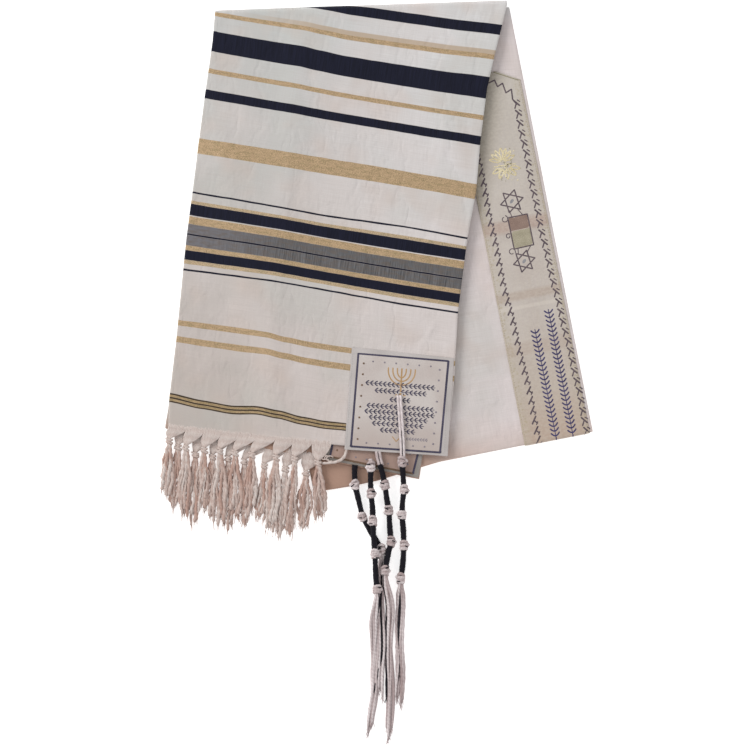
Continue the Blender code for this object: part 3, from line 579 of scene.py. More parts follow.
def with_height(plan, height):
    """Points over a plan."""
    return np.concatenate([plan, np.broadcast_to(height, plan.shape[:2])[..., None]], axis=-1)


def front_places(rows, columns):
    """Plan and cloth distances of the front between its edges."""
    share = np.linspace(0.0, 1.0, rows)[:, None]
    across = np.linspace(0.0, 1.0, columns)[None, :]
    along = front_along(across, share)
    left, right = front_edges(along - FOLD_AXIS * share)
    plan = left * (1.0 - across[..., None]) + right * across[..., None]
    return plan, along, np.broadcast_to(across, along.shape), np.broadcast_to(share, along.shape)


def make_front(material):
    """The front quarter: its top layer, round the lengthwise fold, and the layer under it."""
    plan, along, across, share = front_places(150, 130)
    x, y = np.moveaxis(plan, -1, 0)
    lift = front_wave(across, along) + ripple(x, y, RIPPLES) + ripple(x, y, FINE_FRONT)
    height = support(x, y) + FRONT_TOP + lift * (1.0 - front_flatness(across, along))
    height = mix(FOLD_HEIGHT, height, smooth((1.0 - share) / 0.12))
    away = unit_rows(plan[:, :1] - plan[:, 1:2])
    plan = plan - away * CURL_RADIUS * smooth(1.0 - across / 0.02)[..., None]
    top = with_height(plan, height)
    woven = along - FOLD_AXIS * share
    woven = woven + stripe_drift(across, woven)
    low_plan, along, across, share = front_places(150, 26)
    low_plan[:, 0] = plan[:, 0]
    low_plan[:, -1, 0] -= 1.2 + 0.9 * np.sin(along[:, -1] / 37.0) + 0.5 * np.sin(along[:, -1] / 11.0)
    low_plan[0, 1:, 1] += 1.0
    edge_lift = 0.35 * np.sin(along / 23.0 + 5.0 * across) * smooth((across - 0.6) / 0.4)
    level = support(low_plan[..., 0], low_plan[..., 1]) + LOWER_FRONT_LEVEL + edge_lift - 0.35
    lower = with_height(low_plan, mix(LOWER_FRONT_AT_FOLD, level, smooth((1.0 - share) / 0.12)))
    grid, cloth = fold_quarter(top, lower, woven, 8, CURL_RADIUS)
    up = -line_normal(BACK_TOP_LEFT, BACK_TOP_RIGHT)
    grid, cloth = carry_round(grid, cloth, FOLD_AXIS, up, 178.0, 14, math.pi * FOLD_AXIS)
    make_sheet("front_quarter", grid, SHELL, cloth, material, "cloth", ("cloth_front", "cloth_front_lower"),
               flat=(0.56, 0.46), held="folded", rests_on=["second_quarter", "neckband_cloth"])


def second_places(rows, columns):
    """Plan and cloth distances of the second fringed end, under the front."""
    share = np.linspace(0.0, 1.0, rows)
    across = np.linspace(0.0, 1.0, columns)
    left, _ = front_edges(FOLD_ALONG_LEFT * share - FOLD_AXIS * share)
    left = left + np.outer(1.0 - smooth(share / 0.1), np.subtract(SECOND_LOW_LEFT, left[0]))
    left[:, 0] += 1.2 * smooth(share / 0.05)
    knots = np.array([SECOND_LOW_RIGHT, SECOND_TOP_RIGHT, SECOND_FOLD_RIGHT])
    right = np.stack([np.interp(share, (0.0, 0.92, 1.0), knots[:, axis]) for axis in range(2)], axis=-1)
    plan = left[:, None] * (1.0 - across[None, :, None]) + right[:, None] * across[None, :, None]
    along = front_along(across[None, :], share[:, None])
    return plan, along, np.broadcast_to(share[:, None], along.shape)


def make_second(material):
    """The second fringed end with both its layers."""
    plan, along, share = second_places(110, 80)
    x, y = np.moveaxis(plan, -1, 0)
    level = support(x, y) + SECOND_TOP - (BAND_WALL + GAP) * second_patch_share(x, y)
    top = with_height(plan, mix(level, SECOND_AT_FOLD, smooth((share - 0.93) / 0.07)))
    low_plan, low_along, share = second_places(110, 20)
    low_plan[:, -1, 0] -= 1.0 + 0.7 * np.sin(low_along[:, -1] / 29.0)
    level = support(low_plan[..., 0], low_plan[..., 1]) + LOWER_SECOND_LEVEL
    lower = with_height(low_plan, mix(level, LOWER_SECOND_AT_FOLD, smooth((share - 0.93) / 0.07)))
    grid, cloth = fold_quarter(top, lower, along, 6, 1.0)
    up = -line_normal(BACK_TOP_LEFT, BACK_TOP_RIGHT)
    grid, cloth = carry_round(grid, cloth, FOLD_AXIS, up, 176.0, 10, 9.0)
    # The third cloth coordinate carries the share of painted warm shade under the front's fringed end.
    cloth[..., 2] = 1000.0 * end_shade(grid[..., 0], grid[..., 1])
    make_sheet("second_quarter", grid, SHELL, cloth, material, "cloth", ("cloth_second_end",),
               flat=(0.56, 0.46), held="folded", rests_on=["back_quarter", "neckband_cloth"])


def back_places(rows, columns, low_inset, top_inset):
    """Plan of the back, and its cloth distances from the top fold."""
    share = np.linspace(0.0, 1.0, rows)
    across = np.linspace(0.0, 1.0, columns)
    low = mix(BACK_LOW_LEFT, BACK_LOW_RIGHT, across[:, None])
    high = mix(BACK_TOP_LEFT, BACK_TOP_RIGHT, across[:, None])
    length = np.linalg.norm(high - low, axis=1, keepdims=True)
    bow = np.interp(across, FOLD_BOW_PLACES, FOLD_BOW)
    start = low + (high - low) * low_inset / length
    start = start + line_normal(BACK_LOW_LEFT, BACK_LOW_RIGHT) * bow[:, None]
    end = high - (high - low) * top_inset / length
    plan = start[None] * (1.0 - share[:, None, None]) + end[None] * share[:, None, None]
    along = 471.0 + 470.0 * (1.0 - share[:, None]) + 0.0 * across[None, :]
    return plan, along, np.broadcast_to(across, along.shape), np.broadcast_to(share[:, None], along.shape)


def make_back(material):
    """The back: its top layer, and the layer under it, both round the neck fold."""
    radius = PANEL_TOP / 2.0
    plan, along, across, share = back_places(110, 110, radius, 7.0)
    away = unit_rows(plan[:, :1] - plan[:, 1:2])
    plan = plan - away * 1.6 * smooth(1.0 - across / 0.02)[..., None]
    near_fold = smooth((share - 0.93) / 0.07)
    top = with_height(plan, PANEL_TOP + back_lift(plan[..., 0], plan[..., 1]) + 0.5 * near_fold)
    low_plan = back_places(110, 20, radius, 7.0)[0]
    low_plan[:, 0] = plan[:, 0]
    low_plan[:, -1, 0] -= 1.4 + 0.8 * np.sin(np.linspace(0.0, 9.0, 110))
    grid, cloth = fold_quarter(top, with_height(low_plan, LOWER_BACK_LEVEL), along, 6, 1.6)
    down = line_normal(BACK_LOW_LEFT, BACK_LOW_RIGHT)
    grid, cloth = carry_round(grid, cloth, radius, down, 172.0, 12, 6.0, at_start=True)
    # The third cloth coordinate carries the share of painted warm shade under the front's fringed end.
    cloth[..., 2] = 1000.0 * end_shade(grid[..., 0], grid[..., 1])
    make_sheet("back_quarter", grid, SHELL, cloth, material, "cloth", ("cloth_back",),
               flat=(0.56, 0.45), held="folded", rests_on=["under_quarter"])


def make_under(material):
    """The underside quarter, flat where it lies on the surface."""
    plan, along, across, _ = back_places(70, 60, 2.4, 6.4)
    plan = plan + np.array([0.6, 0.0]) * (1.0 - across[..., None])
    upper = with_height(plan, UNDER_LEVEL + 0.15 * np.sin(along / 31.0) * smooth((across - 0.8) / 0.2))
    base_plan = back_places(70, 20, 2.4, 6.4)[0]
    base_plan[:, 0] = plan[:, 0]
    base_plan[:, -1, 0] += 0.4 * np.sin(np.linspace(0.0, 7.0, 70)) - 0.8
    grid, cloth = fold_quarter(upper, with_height(base_plan, 0.0), along, 6, 1.2)
    make_sheet("under_quarter", grid, SHELL, cloth, material, "cloth", ("cloth_under",),
               flat=(0.56, 0.44), held="folded")


def band_point(side, reach, lift=0.0):
    """Place on the neckband: distance from the back's right edge, distance up from the neck fold."""
    side = np.asarray(side, float)
    reach = np.asarray(reach, float)
    run = unit_rows(np.subtract(BACK_TOP_RIGHT, BACK_LOW_RIGHT))
    low_left = unit_rows(np.subtract(BACK_LOW_LEFT, BACK_LOW_RIGHT))
    down = line_normal(BACK_LOW_LEFT, BACK_LOW_RIGHT)
    radius = PANEL_TOP / 2.0
    up = np.maximum(reach, radius)
    x, y = (BACK_LOW_RIGHT[axis] + low_left[axis] * side + run[axis] * up for axis in range(2))
    across = (side - BAND_INSET) / BAND_WIDTH
    edge = smooth(np.minimum(across, 1.0 - across) / 0.045)
    outer = PANEL_TOP + 0.72 + 0.28 * edge + back_lift(x, y) + lift - radius
    angle = np.maximum(radius - reach, 0.0) / (radius + BAND_RISE)
    past = outer * np.sin(angle)
    return np.stack([x + down[0] * past, y + down[1] * past, radius + outer * np.cos(angle)], axis=-1)


def make_band(material):
    """The neckband, sewn on the back along its open edge and carried round the neck fold."""
    side = np.concatenate([np.linspace(69.0, 65.0, 6), np.linspace(63.0, 9.0, 28), np.linspace(7.0, 3.0, 6)])
    reach = np.concatenate([np.linspace(-4.8, 2.0, 12), np.linspace(4.0, BAND_START, 170)])[:, None]
    end = np.minimum(BAND_END_LOW + BAND_END_SLOPE * side, BAND_START + 5.0)[None, :]
    reach = reach + (end - BAND_START) * smooth((reach - 250.0) / 118.0)
    grid = band_point(side[None, :], reach)
    cloth = np.zeros(grid.shape)
    cloth[..., 0] = side[None, :]
    cloth[..., 1] = reach
    make_sheet("neckband_cloth", grid, TRIM_SHELL, cloth, material, "neckband", ("neckband",),
               flat=(0.068, 0.376), held="laid", rests_on=["back_quarter"])


def patch_point(corners, level, right, up, lift):
    """Place on a patch: distance from the left side and from the lower side of its print."""
    across = np.asarray(right, float)[..., None] / PATCH_SIDE
    share = np.asarray(up, float)[..., None] / PATCH_SIDE
    low = mix(corners[0], corners[1], across)
    high = mix(corners[3], corners[2], across)
    plan = low * (1.0 - share) + high * share
    return with_height(plan, support(plan[..., 0], plan[..., 1]) + level + lift)


def second_patch_corners():
    """Corners of the printed square on the second end's patch."""
    along = np.asarray(SECOND_PATCH_ALONG)
    up = np.asarray(SECOND_PATCH_UP)
    low_right = np.asarray(SECOND_LOW_RIGHT) + along * 1.2 + up * 2.4
    return (low_right + along * PATCH_SIDE, low_right, low_right + up * PATCH_SIDE,
            low_right + (along + up) * PATCH_SIDE)


def make_patch(name, node, corners, edges, level, material, carrier, flat):
    """A satin corner patch, softly pressed at its edges."""
    edge = np.array([0.0, 0.4, 1.0, 2.0, 3.5, 5.0])
    places = np.concatenate([edge, np.linspace(8.0, 88.0, 34), PATCH_SIDE - edge[::-1]]) / PATCH_SIDE
    across, share = np.meshgrid(places, places)
    right = edges["left"] + across * (mix(*edges["right"], share) - edges["left"])
    up = edges["low"] + share * (mix(*edges["top"], across) - edges["low"])
    nearest = np.minimum(np.minimum(across, 1.0 - across), np.minimum(share, 1.0 - share))
    grid = patch_point(corners, level, right, up, 0.72 + 0.3 * smooth(nearest / 0.05))
    shaded = 1000.0 * end_shade(grid[..., 0], grid[..., 1]) * (1.0 if carrier == "second_quarter" else 0.0)
    cloth = np.stack([right, up, shaded], axis=-1)
    make_sheet(name, grid, TRIM_SHELL, cloth, material, "patch", (node,),
               flat=flat, held="laid", rests_on=[carrier])


class Pile:
    """Collects small shapes into one mesh, with their own coordinates."""

    label = "cloth"

    def __init__(self):
        self.points = []
        self.faces = []
        self.values = []
        self.marks = []
        self.count = 0

    def numbers(self, rows, columns):
        """Numbers of the next shape's points."""
        return np.arange(rows * columns).reshape(rows, columns) + self.count

    def keep(self, points, values, faces, mark):
        """Keep one shape."""
        self.points.append(points.reshape(-1, 3))
        self.values.append(values.reshape(-1, 3))
        self.faces += faces
        self.marks += [mark] * len(faces)
        self.count += len(self.points[-1])

    def finish(self, name, material, slot, nodes=()):
        """Make the piece."""
        values = {self.label: np.concatenate(self.values)}
        add_mesh(name, np.concatenate(self.points), self.faces, material, nodes, values, self.marks)


def cord_frames(path):
    """Side and up directions that turn little along a path."""
    run = unit_rows(np.gradient(path, axis=0))
    side = np.zeros_like(run)
    start = np.cross(run[0], (0.0, 0.0, 1.0))
    if np.linalg.norm(start) < 0.2:
        start = np.cross(run[0], (1.0, 0.0, 0.0))
    side[0] = unit_rows(start)
    for order in range(1, len(path)):
        side[order] = unit_rows(side[order - 1] - run[order] * np.dot(side[order - 1], run[order]))
    return side, np.cross(side, run)


class Yarns(Pile):
    """Round strands."""

    label = "strand"

    def add(self, path, radius, sides=8, lobes=0, depth=0.0, turn=0.0, tint=0.5, mark=0, closed=False):
        """Add one strand; its lobes turn along it, so it looks twisted."""
        path = np.asarray(path, float)
        side, up = cord_frames(path)
        step = np.linalg.norm(np.diff(path, axis=0), axis=1)
        length = np.concatenate([[0.0], np.cumsum(step)])
        angle = np.linspace(0.0, FULL_TURN, sides, endpoint=False)
        swing = length[:, None] * turn
        shape = np.broadcast_to(np.asarray(radius, float).reshape(-1, 1), (len(path), 1))
        reach = shape * (1.0 + depth * np.cos(lobes * (angle[None, :] - swing)))
        ring = (path[:, None] + reach[..., None]
                * (side[:, None] * np.cos(angle)[None, :, None] + up[:, None] * np.sin(angle)[None, :, None]))
        numbers = self.numbers(len(path), sides)
        beside = np.roll(numbers, -1, axis=1)
        after = [np.roll(beside, -1, axis=0), np.roll(numbers, -1, axis=0)]
        quads = np.stack([numbers, beside, *after], axis=-1)
        faces = (quads if closed else quads[:-1]).reshape(-1, 4).tolist()
        if not closed:
            faces += [numbers[0, ::-1].tolist(), numbers[-1].tolist()]
        value = np.zeros(ring.shape)
        value[..., 0] = length[:, None] * MM
        value[..., 1] = (angle[None, :] - swing) / FULL_TURN
        value[..., 2] = np.broadcast_to(np.asarray(tint, float).reshape(-1, 1), ring.shape[:2])
        self.keep(ring, value, faces, mark)

    def hair(self, start, reach, chance, tint, mark=0):
        """Add a thin stray fibre that curls away."""
        share = np.linspace(0.0, 1.0, 7)[:, None]
        turn = chance.uniform(0.0, 6.3)
        side = np.array([math.cos(turn), 0.3 * math.sin(turn), 0.0]) * chance.uniform(0.4, 1.3)
        path = start + np.asarray(reach) * share + side * np.sin(2.6 * share) * share
        path[:, 2] = np.maximum(path[:, 2], 0.4)
        self.add(path, np.linspace(0.42, 0.2, 7), 5, tint=tint, mark=mark)


def curve_through(points, count):
    """A smooth curve of evenly spaced points through a few given ones."""
    points = np.asarray(points, float)
    padded = np.concatenate([[2.0 * points[0] - points[1]], points, [2.0 * points[-1] - points[-2]]])
    pieces = []
    for order in range(len(points) - 1):
        before, start, end, after = padded[order:order + 4]
        share = np.linspace(0.0, 1.0, 24, endpoint=False)[:, None]
        pieces.append(0.5 * (2.0 * start + (end - before) * share
                             + (2.0 * before - 5.0 * start + 4.0 * end - after) * share ** 2
                             + (3.0 * start - before - 3.0 * end + after) * share ** 3))
    fine = np.concatenate(pieces + [points[-1:]])
    length = np.concatenate([[0.0], np.cumsum(np.linalg.norm(np.diff(fine, axis=0), axis=1))])
    places = np.linspace(0.0, length[-1], count)
    return np.stack([np.interp(places, length, fine[:, axis]) for axis in range(3)], axis=-1)


def add_fan(yarns, knot, centre, hand, levels, edge, chance):
    """Threads of one side that run together from the cloth's end to a knot."""
    start, run, out = edge
    slit = chance.uniform(0.3, 1.1)
    for thread in range(7):
        distance = centre + hand * (slit + (8.7 - slit) * thread / 6.0 + chance.uniform(-0.2, 0.2))
        root = start + run * distance
        inner = root - out * (3.2 + chance.uniform(0.0, 3.0))
        first = np.array([*inner, float(support(*inner)) + levels["surface"] - 1.0])
        top = np.array([*root, float(support(*root)) + levels["root"] + 0.1])
        end = knot + np.array([hand * (0.3 + 0.28 * thread), 2.0 + 0.25 * thread, 0.5 - 0.15 * thread])
        bow = np.array([hand * (0.2 + 0.25 * thread), 0.0, -0.5])
        path = curve_through([first, top, mix(top, end, 0.5) + bow, end], 14)
        radius = np.interp(np.linspace(0.0, 1.0, 14), [0.0, 0.25, 0.6, 1.0], [0.6, 1.15, 0.95, 0.7])
        yarns.add(path, radius, 7, 2, 0.05, 0.5, np.linspace(1.25, chance.uniform(0.7, 1.0), 14))


def add_fringe_knot(yarns, knot, chance):
    """A small uneven knot."""
    cosine, sine = circle(14)
    for loop in range(3):
        wide = 2.5 + chance.uniform(-0.3, 0.5)
        tilt = chance.uniform(0.25, 0.8) * (1.0 if loop % 2 else -1.0)
        x = knot[0] + chance.uniform(-0.4, 0.4) + wide * cosine
        y = knot[1] + 1.5 - 1.5 * loop + tilt * 1.9 * cosine
        path = np.stack([x, y, knot[2] + 1.5 * sine], axis=-1)
        yarns.add(path, 1.1 + 0.15 * loop, 7, 2, 0.12, 2.0, chance.uniform(0.6, 1.0), closed=True)


def add_fringe_tassel(yarns, spec, levels, edge, seed):
    """One fringe tassel: two fans of threads, the knot, and its loose wavy bundles."""
    chance = np.random.default_rng(seed)
    root_x, knot_x, knot_y, end_x, end_y = spec
    centre = (root_x - edge[0][0]) / edge[1][0]
    knot = np.array([knot_x, knot_y, float(drape(knot_x, knot_y)) + levels["knot"]])
    for hand in (-1.0, 1.0):
        add_fan(yarns, knot, centre, hand, levels, edge, chance)
    add_fringe_knot(yarns, knot, chance)
    strands = 8
    order = chance.permutation(strands)
    share = np.linspace(0.0, 1.0, 30)
    settle = smooth(share / 0.18)
    taper = np.interp(share, [0.0, 0.1, 0.5, 0.95, 1.0], [0.7, 0.95, 1.0, 1.1, 0.75])
    for strand in range(strands):
        place = (strand + 0.5) / strands * 2.0 - 1.0
        reach = 1.0 - 0.24 * order[strand] / strands - chance.uniform(0.0, 0.05)
        phase = chance.uniform(0.0, 6.3)
        swing = chance.uniform(0.5, 1.7)
        spread = 5.9 + chance.uniform(-1.2, 1.2)
        x = knot_x + (end_x - knot_x) * share + spread * place * (0.3 + 0.7 * smooth(share * 1.9))
        x = x + swing * np.sin(phase + 6.5 * share) * smooth(share * 3.0)
        x = x + 0.35 * np.sin(3.0 * phase + 21.0 * share) * smooth(share * 4.0)
        x = x - 2.6 * place * smooth((share - 0.6) / 0.4) * chance.uniform(0.0, 1.0)
        y = knot_y - 2.2 + (end_y - knot_y + 2.2) * share * reach
        lift = levels["strand"] + (0.75 if strand % 2 else -0.45)
        sag = 1.5 * smooth(share) * (levels["strand"] - 1.6) / 3.0
        z = mix(knot[2] - 0.2, drape(x, y) + lift - sag, settle)
        z = np.maximum(z + 0.5 * np.sin(phase * 1.7 + 9.0 * share) * settle, 1.0)
        radius = chance.uniform(1.2, 1.9) * taper * (1.0 + 0.12 * np.sin(phase + 17.0 * share))
        path = np.stack([x, y, z], axis=-1)
        tint = np.clip(chance.uniform(0.05, 1.0) + 0.3 * np.sin(phase + 5.0 * share), 0.0, 1.0)
        yarns.add(path, radius, 7, 2, 0.2, 0.55, tint)
        for _ in range(2):
            begin = path[-2] + chance.uniform(-0.5, 0.5, 3) * (1.0, 1.0, 0.3)
            run = (path[-1] - path[-3]) * chance.uniform(1.2, 2.4) + (chance.uniform(-1.6, 1.6), 0.0, 0.0)
            yarns.hair(begin, run, chance, chance.uniform(0.0, 1.0))
    for _ in range(3):
        pick = chance.uniform(0.2, 0.8)
        x = knot_x + (end_x - knot_x) * pick + chance.uniform(-6.0, 6.0)
        y = knot_y + (end_y - knot_y) * pick
        begin = np.array([x, y, float(drape(x, y)) + levels["strand"] + 0.8])
        run = (chance.uniform(-5.0, 5.0), -chance.uniform(6.0, 14.0), -0.4)
        yarns.hair(begin, run, chance, chance.uniform(0.5, 1.0))


def add_rolled_hem(yarns):
    """The end of the front's hem, rolled and drawn down beside the patch to the last knot."""
    hem = curve_through([(-29.5, -76.0, 10.0), (-30.2, -82.0, 9.9), (-33.2, -87.3, 9.7), (-39.3, -90.6, 9.5),
                         (-46.0, -91.6, 9.3), (-54.0, -92.4, 8.8)], 30)
    radius = np.interp(np.linspace(0.0, 1.0, 30), [0.0, 0.3, 1.0], [1.1, 1.6, 1.2])
    yarns.add(hem, radius, 8, 2, 0.08, 0.6, 1.0)
    angle = np.linspace(0.4, 5.4, 18)
    for shift, size in ((0.0, 3.0), (3.2, 2.4), (6.0, 3.3)):
        x = -52.0 + shift + size * np.cos(angle)
        y = -86.0 - 0.25 * shift + 0.8 * size * np.sin(angle)
        yarns.add(np.stack([x, y, 9.2 + 0.3 * np.sin(angle)], axis=-1), 0.6, 6, tint=0.9)


def make_fringe(name, node, tassels, edge_start, edge_end, levels, material, seed):
    """The knotted fringe of one end."""
    run = unit_rows(np.subtract(edge_end, edge_start))
    edge = (np.asarray(edge_start), run, np.array([run[1], -run[0]]))
    yarns = Yarns()
    for order, spec in enumerate(tassels):
        add_fringe_tassel(yarns, spec, levels, edge, seed + order)
    if node == "fringe_front":
        add_rolled_hem(yarns)
    yarns.finish(name, material, "fringe", (node,))


def add_tzitzit_knot(yarns, centre, run, chance):
    """A rounded knot of a corner tassel: white strands that cross, with a glimpse of the navy one."""
    side = unit_rows(np.cross(run, (0.0, 0.0, 1.0)))
    up = np.cross(side, run)

    def around(angle, wide, high, along):
        return (centre + side * (wide * np.cos(angle))[:, None] + up * (high * np.sin(angle))[:, None]
                + run * along[:, None])

    angle = np.linspace(0.0, FULL_TURN, 18, endpoint=False)
    for loop in range(5):
        tilt = chance.uniform(0.5, 1.5) * (1.0 if loop % 2 else -1.0)
        turn = chance.uniform(-0.5, 0.5)
        shift = (loop - 2.0) * 1.55 + chance.uniform(-0.4, 0.4)
        wide = KNOT_RADIUS * (1.0 - 0.05 * abs(loop - 2.0)) + chance.uniform(0.0, 0.5)
        path = around(angle, wide, 0.92 * KNOT_RADIUS, shift + tilt * 1.5 * np.sin(angle + turn))
        yarns.add(path, chance.uniform(1.2, 1.6), 8, 2, 0.1, 1.6, chance.uniform(0.2, 0.95), closed=True)
    hand = 1.0 if chance.uniform() < 0.5 else -1.0
    bump = centre + side * hand * (KNOT_RADIUS + 0.9) + run * chance.uniform(-2.0, 2.0)
    path = np.stack([bump - run * 1.8, bump + side * hand * 0.7, bump + run * 1.8])
    yarns.add(path, np.array([0.9, 1.7, 0.9]), 8, tint=0.95)
    shift = chance.uniform(-2.8, 2.8)
    slant = chance.uniform(-2.8, 2.8)
    arc = np.linspace(0.3, 1.4, 6) if hand > 0.0 else np.linspace(1.8, 2.9, 6)
    path = around(arc, KNOT_RADIUS + 1.1, KNOT_RADIUS + 1.1, shift + slant * np.cos(arc))
    yarns.add(path, chance.uniform(0.45, 0.75), 7, tint=0.5, mark=1)
    core = np.stack([centre + run * place for place in (-4.2, -2.0, 2.0, 4.2)])
    yarns.add(core, np.array([1.7, 3.0, 3.0, 1.7]), 10, tint=0.5)


def add_winding(yarns, start, end, chance):
    """A stretch of cord wound closely with the navy strand."""
    steps = max(8, int(float(np.linalg.norm(end - start)) / 0.3))
    share = np.linspace(0.0, 1.0, steps)[:, None]
    bow = np.array([chance.uniform(-0.6, 0.6), 0.0, 0.0])
    path = mix(start, end, share) + bow * np.sin(math.pi * share)
    radius = 2.85 + 0.16 * np.sin(5.0 * share[:, 0] + chance.uniform(0.0, 6.0))
    radius = radius + 0.08 * np.sin(23.0 * share[:, 0] + chance.uniform(0.0, 6.0))
    yarns.add(path, radius, 12, 1, 0.1, FULL_TURN / 1.5, 0.5, 1)


def add_doubled_cord(yarns, places, thick, bare):
    """Two white strands side by side, with the navy one showing thinly between them lower down."""
    for hand in (-1.0, 1.0):
        path = [place + np.array([hand * (0.95 * thick), 0.0, 0.0]) for place in places]
        tint = (1.0 if hand > 0.0 else 0.9) * (0.95 if bare else 0.5)
        yarns.add(curve_through(path, 34), thick, 8, 2, 0.05, 0.5, tint)
    path = [place + np.array([0.0, 0.0, 0.75 * thick]) for place in places]
    yarns.add(curve_through(path, 34)[bare:], 0.26, 6, tint=0.8, mark=1)


def add_loose_strands(yarns, spec, number, last, chance):
    """The eight loose strands under the last knot, one of them navy."""
    turn, end = (np.asarray(place, float) for place in spec["ends"])
    share = np.linspace(0.0, 1.0, 46)
    settle = smooth(share / spec["settle"])
    start = mix(last[:2], turn, smooth(share / 0.25)[:, None])
    for column in range(4):
        for row in range(2):
            reach = 1.0 - 0.08 * ((column * 3 + row * 5 + number) % 4) / 3.0
            phase = chance.uniform(0.0, 6.3)
            swing = chance.uniform(0.3, 1.1)
            navy = row == 1 and column == (number + 1) % 4
            way = share * reach * (0.74 if navy else 1.0)
            spread = (1.5 - column) * CORD_PITCH * (0.45 + 0.6 * smooth(share * 7.0))
            x = mix(start[:, 0], end[0], way) + spread
            x = x + spec.get("bow", 0.0) * np.sin(math.pi * share)
            x = x + 0.5 * np.sin(11.0 * share) * smooth(share * 3.0)
            x = x + swing * np.sin(phase + 10.0 * share) * smooth(share * 5.0)
            y = last[1] + (end[1] - last[1]) * way
            z = mix(last[2], CORD_STRAND_LEVEL, settle) + (row - 0.5) * 1.75
            z = np.maximum(z + 0.25 * np.sin(phase + 8.0 * share), 1.15)
            thick = 1.05 if navy else chance.uniform(1.2, 1.5)
            radius = thick * np.interp(share, [0.0, 0.05, 0.94, 1.0], [0.8, 1.0, 1.0, 0.6])
            tint = np.clip(chance.uniform(0.2, 0.9) + 0.25 * np.sin(phase + 7.0 * share), 0.0, 1.0)
            path = np.stack([x, y, z], axis=-1)
            yarns.add(path, radius, 8, 2, 0.14, 0.9, tint, int(navy))
            for _ in range(3):
                run = unit_rows(path[-1] - path[-2]) * chance.uniform(3.0, 6.5)
                begin = path[-1] + chance.uniform(-0.4, 0.4, 3) * (1.0, 0.0, 0.3)
                run = run + (chance.uniform(-1.8, 1.8), 0.0, 0.0)
                yarns.hair(begin, run, chance, chance.uniform(0.3, 1.0), int(navy))


def make_tzitzit(number, spec, materials):
    """One corner tassel: its cord, windings, knots and loose strands."""
    chance = np.random.default_rng(40 + number)
    yarns = Yarns()
    way = [np.asarray(place, float) for place in spec["way"]]
    knots = [np.asarray(place, float) for place in spec["knots"]]
    start = spec["start"]
    if start == "long":
        add_doubled_cord(yarns, way + [knots[0] + np.array([0.0, 2.0, 0.0])], 1.4, 18)
    elif start == "wound":
        add_winding(yarns, way[0] + np.array([0.0, 4.0, 0.0]), knots[0] + np.array([0.0, 4.5, 0.0]), chance)
    elif start == "doubled":
        add_doubled_cord(yarns, [way[0] + np.array([-0.6, 2.0, 0.0]), mix(way[0], knots[0], 0.5),
                                 knots[0] + np.array([1.5, -4.0, 0.0])], 1.6, 0)
    else:
        yarns.add(curve_through([way[0], knots[0]], 8), 2.2, 10, 3, 0.1, 1.0, 0.6)
    for order, knot in enumerate(knots):
        before = knots[order - 1] if order else way[-1]
        after = knots[order + 1] if order + 1 < len(knots) else np.array([*spec["ends"][0], knot[2]])
        reach = unit_rows(after - knot)
        if order or start != "doubled":
            add_tzitzit_knot(yarns, knot, unit_rows(unit_rows(knot - before) + reach), chance)
        if order + 1 < len(knots):
            add_winding(yarns, knot + reach * 3.2, after - reach * 3.2, chance)
    add_loose_strands(yarns, spec, number, knots[-1] + np.array([0.0, -3.0, 0.0]), chance)
    yarns.finish(f"tassel_{number}", materials, "corner_tassel", (f"tzitzit_{number}",))


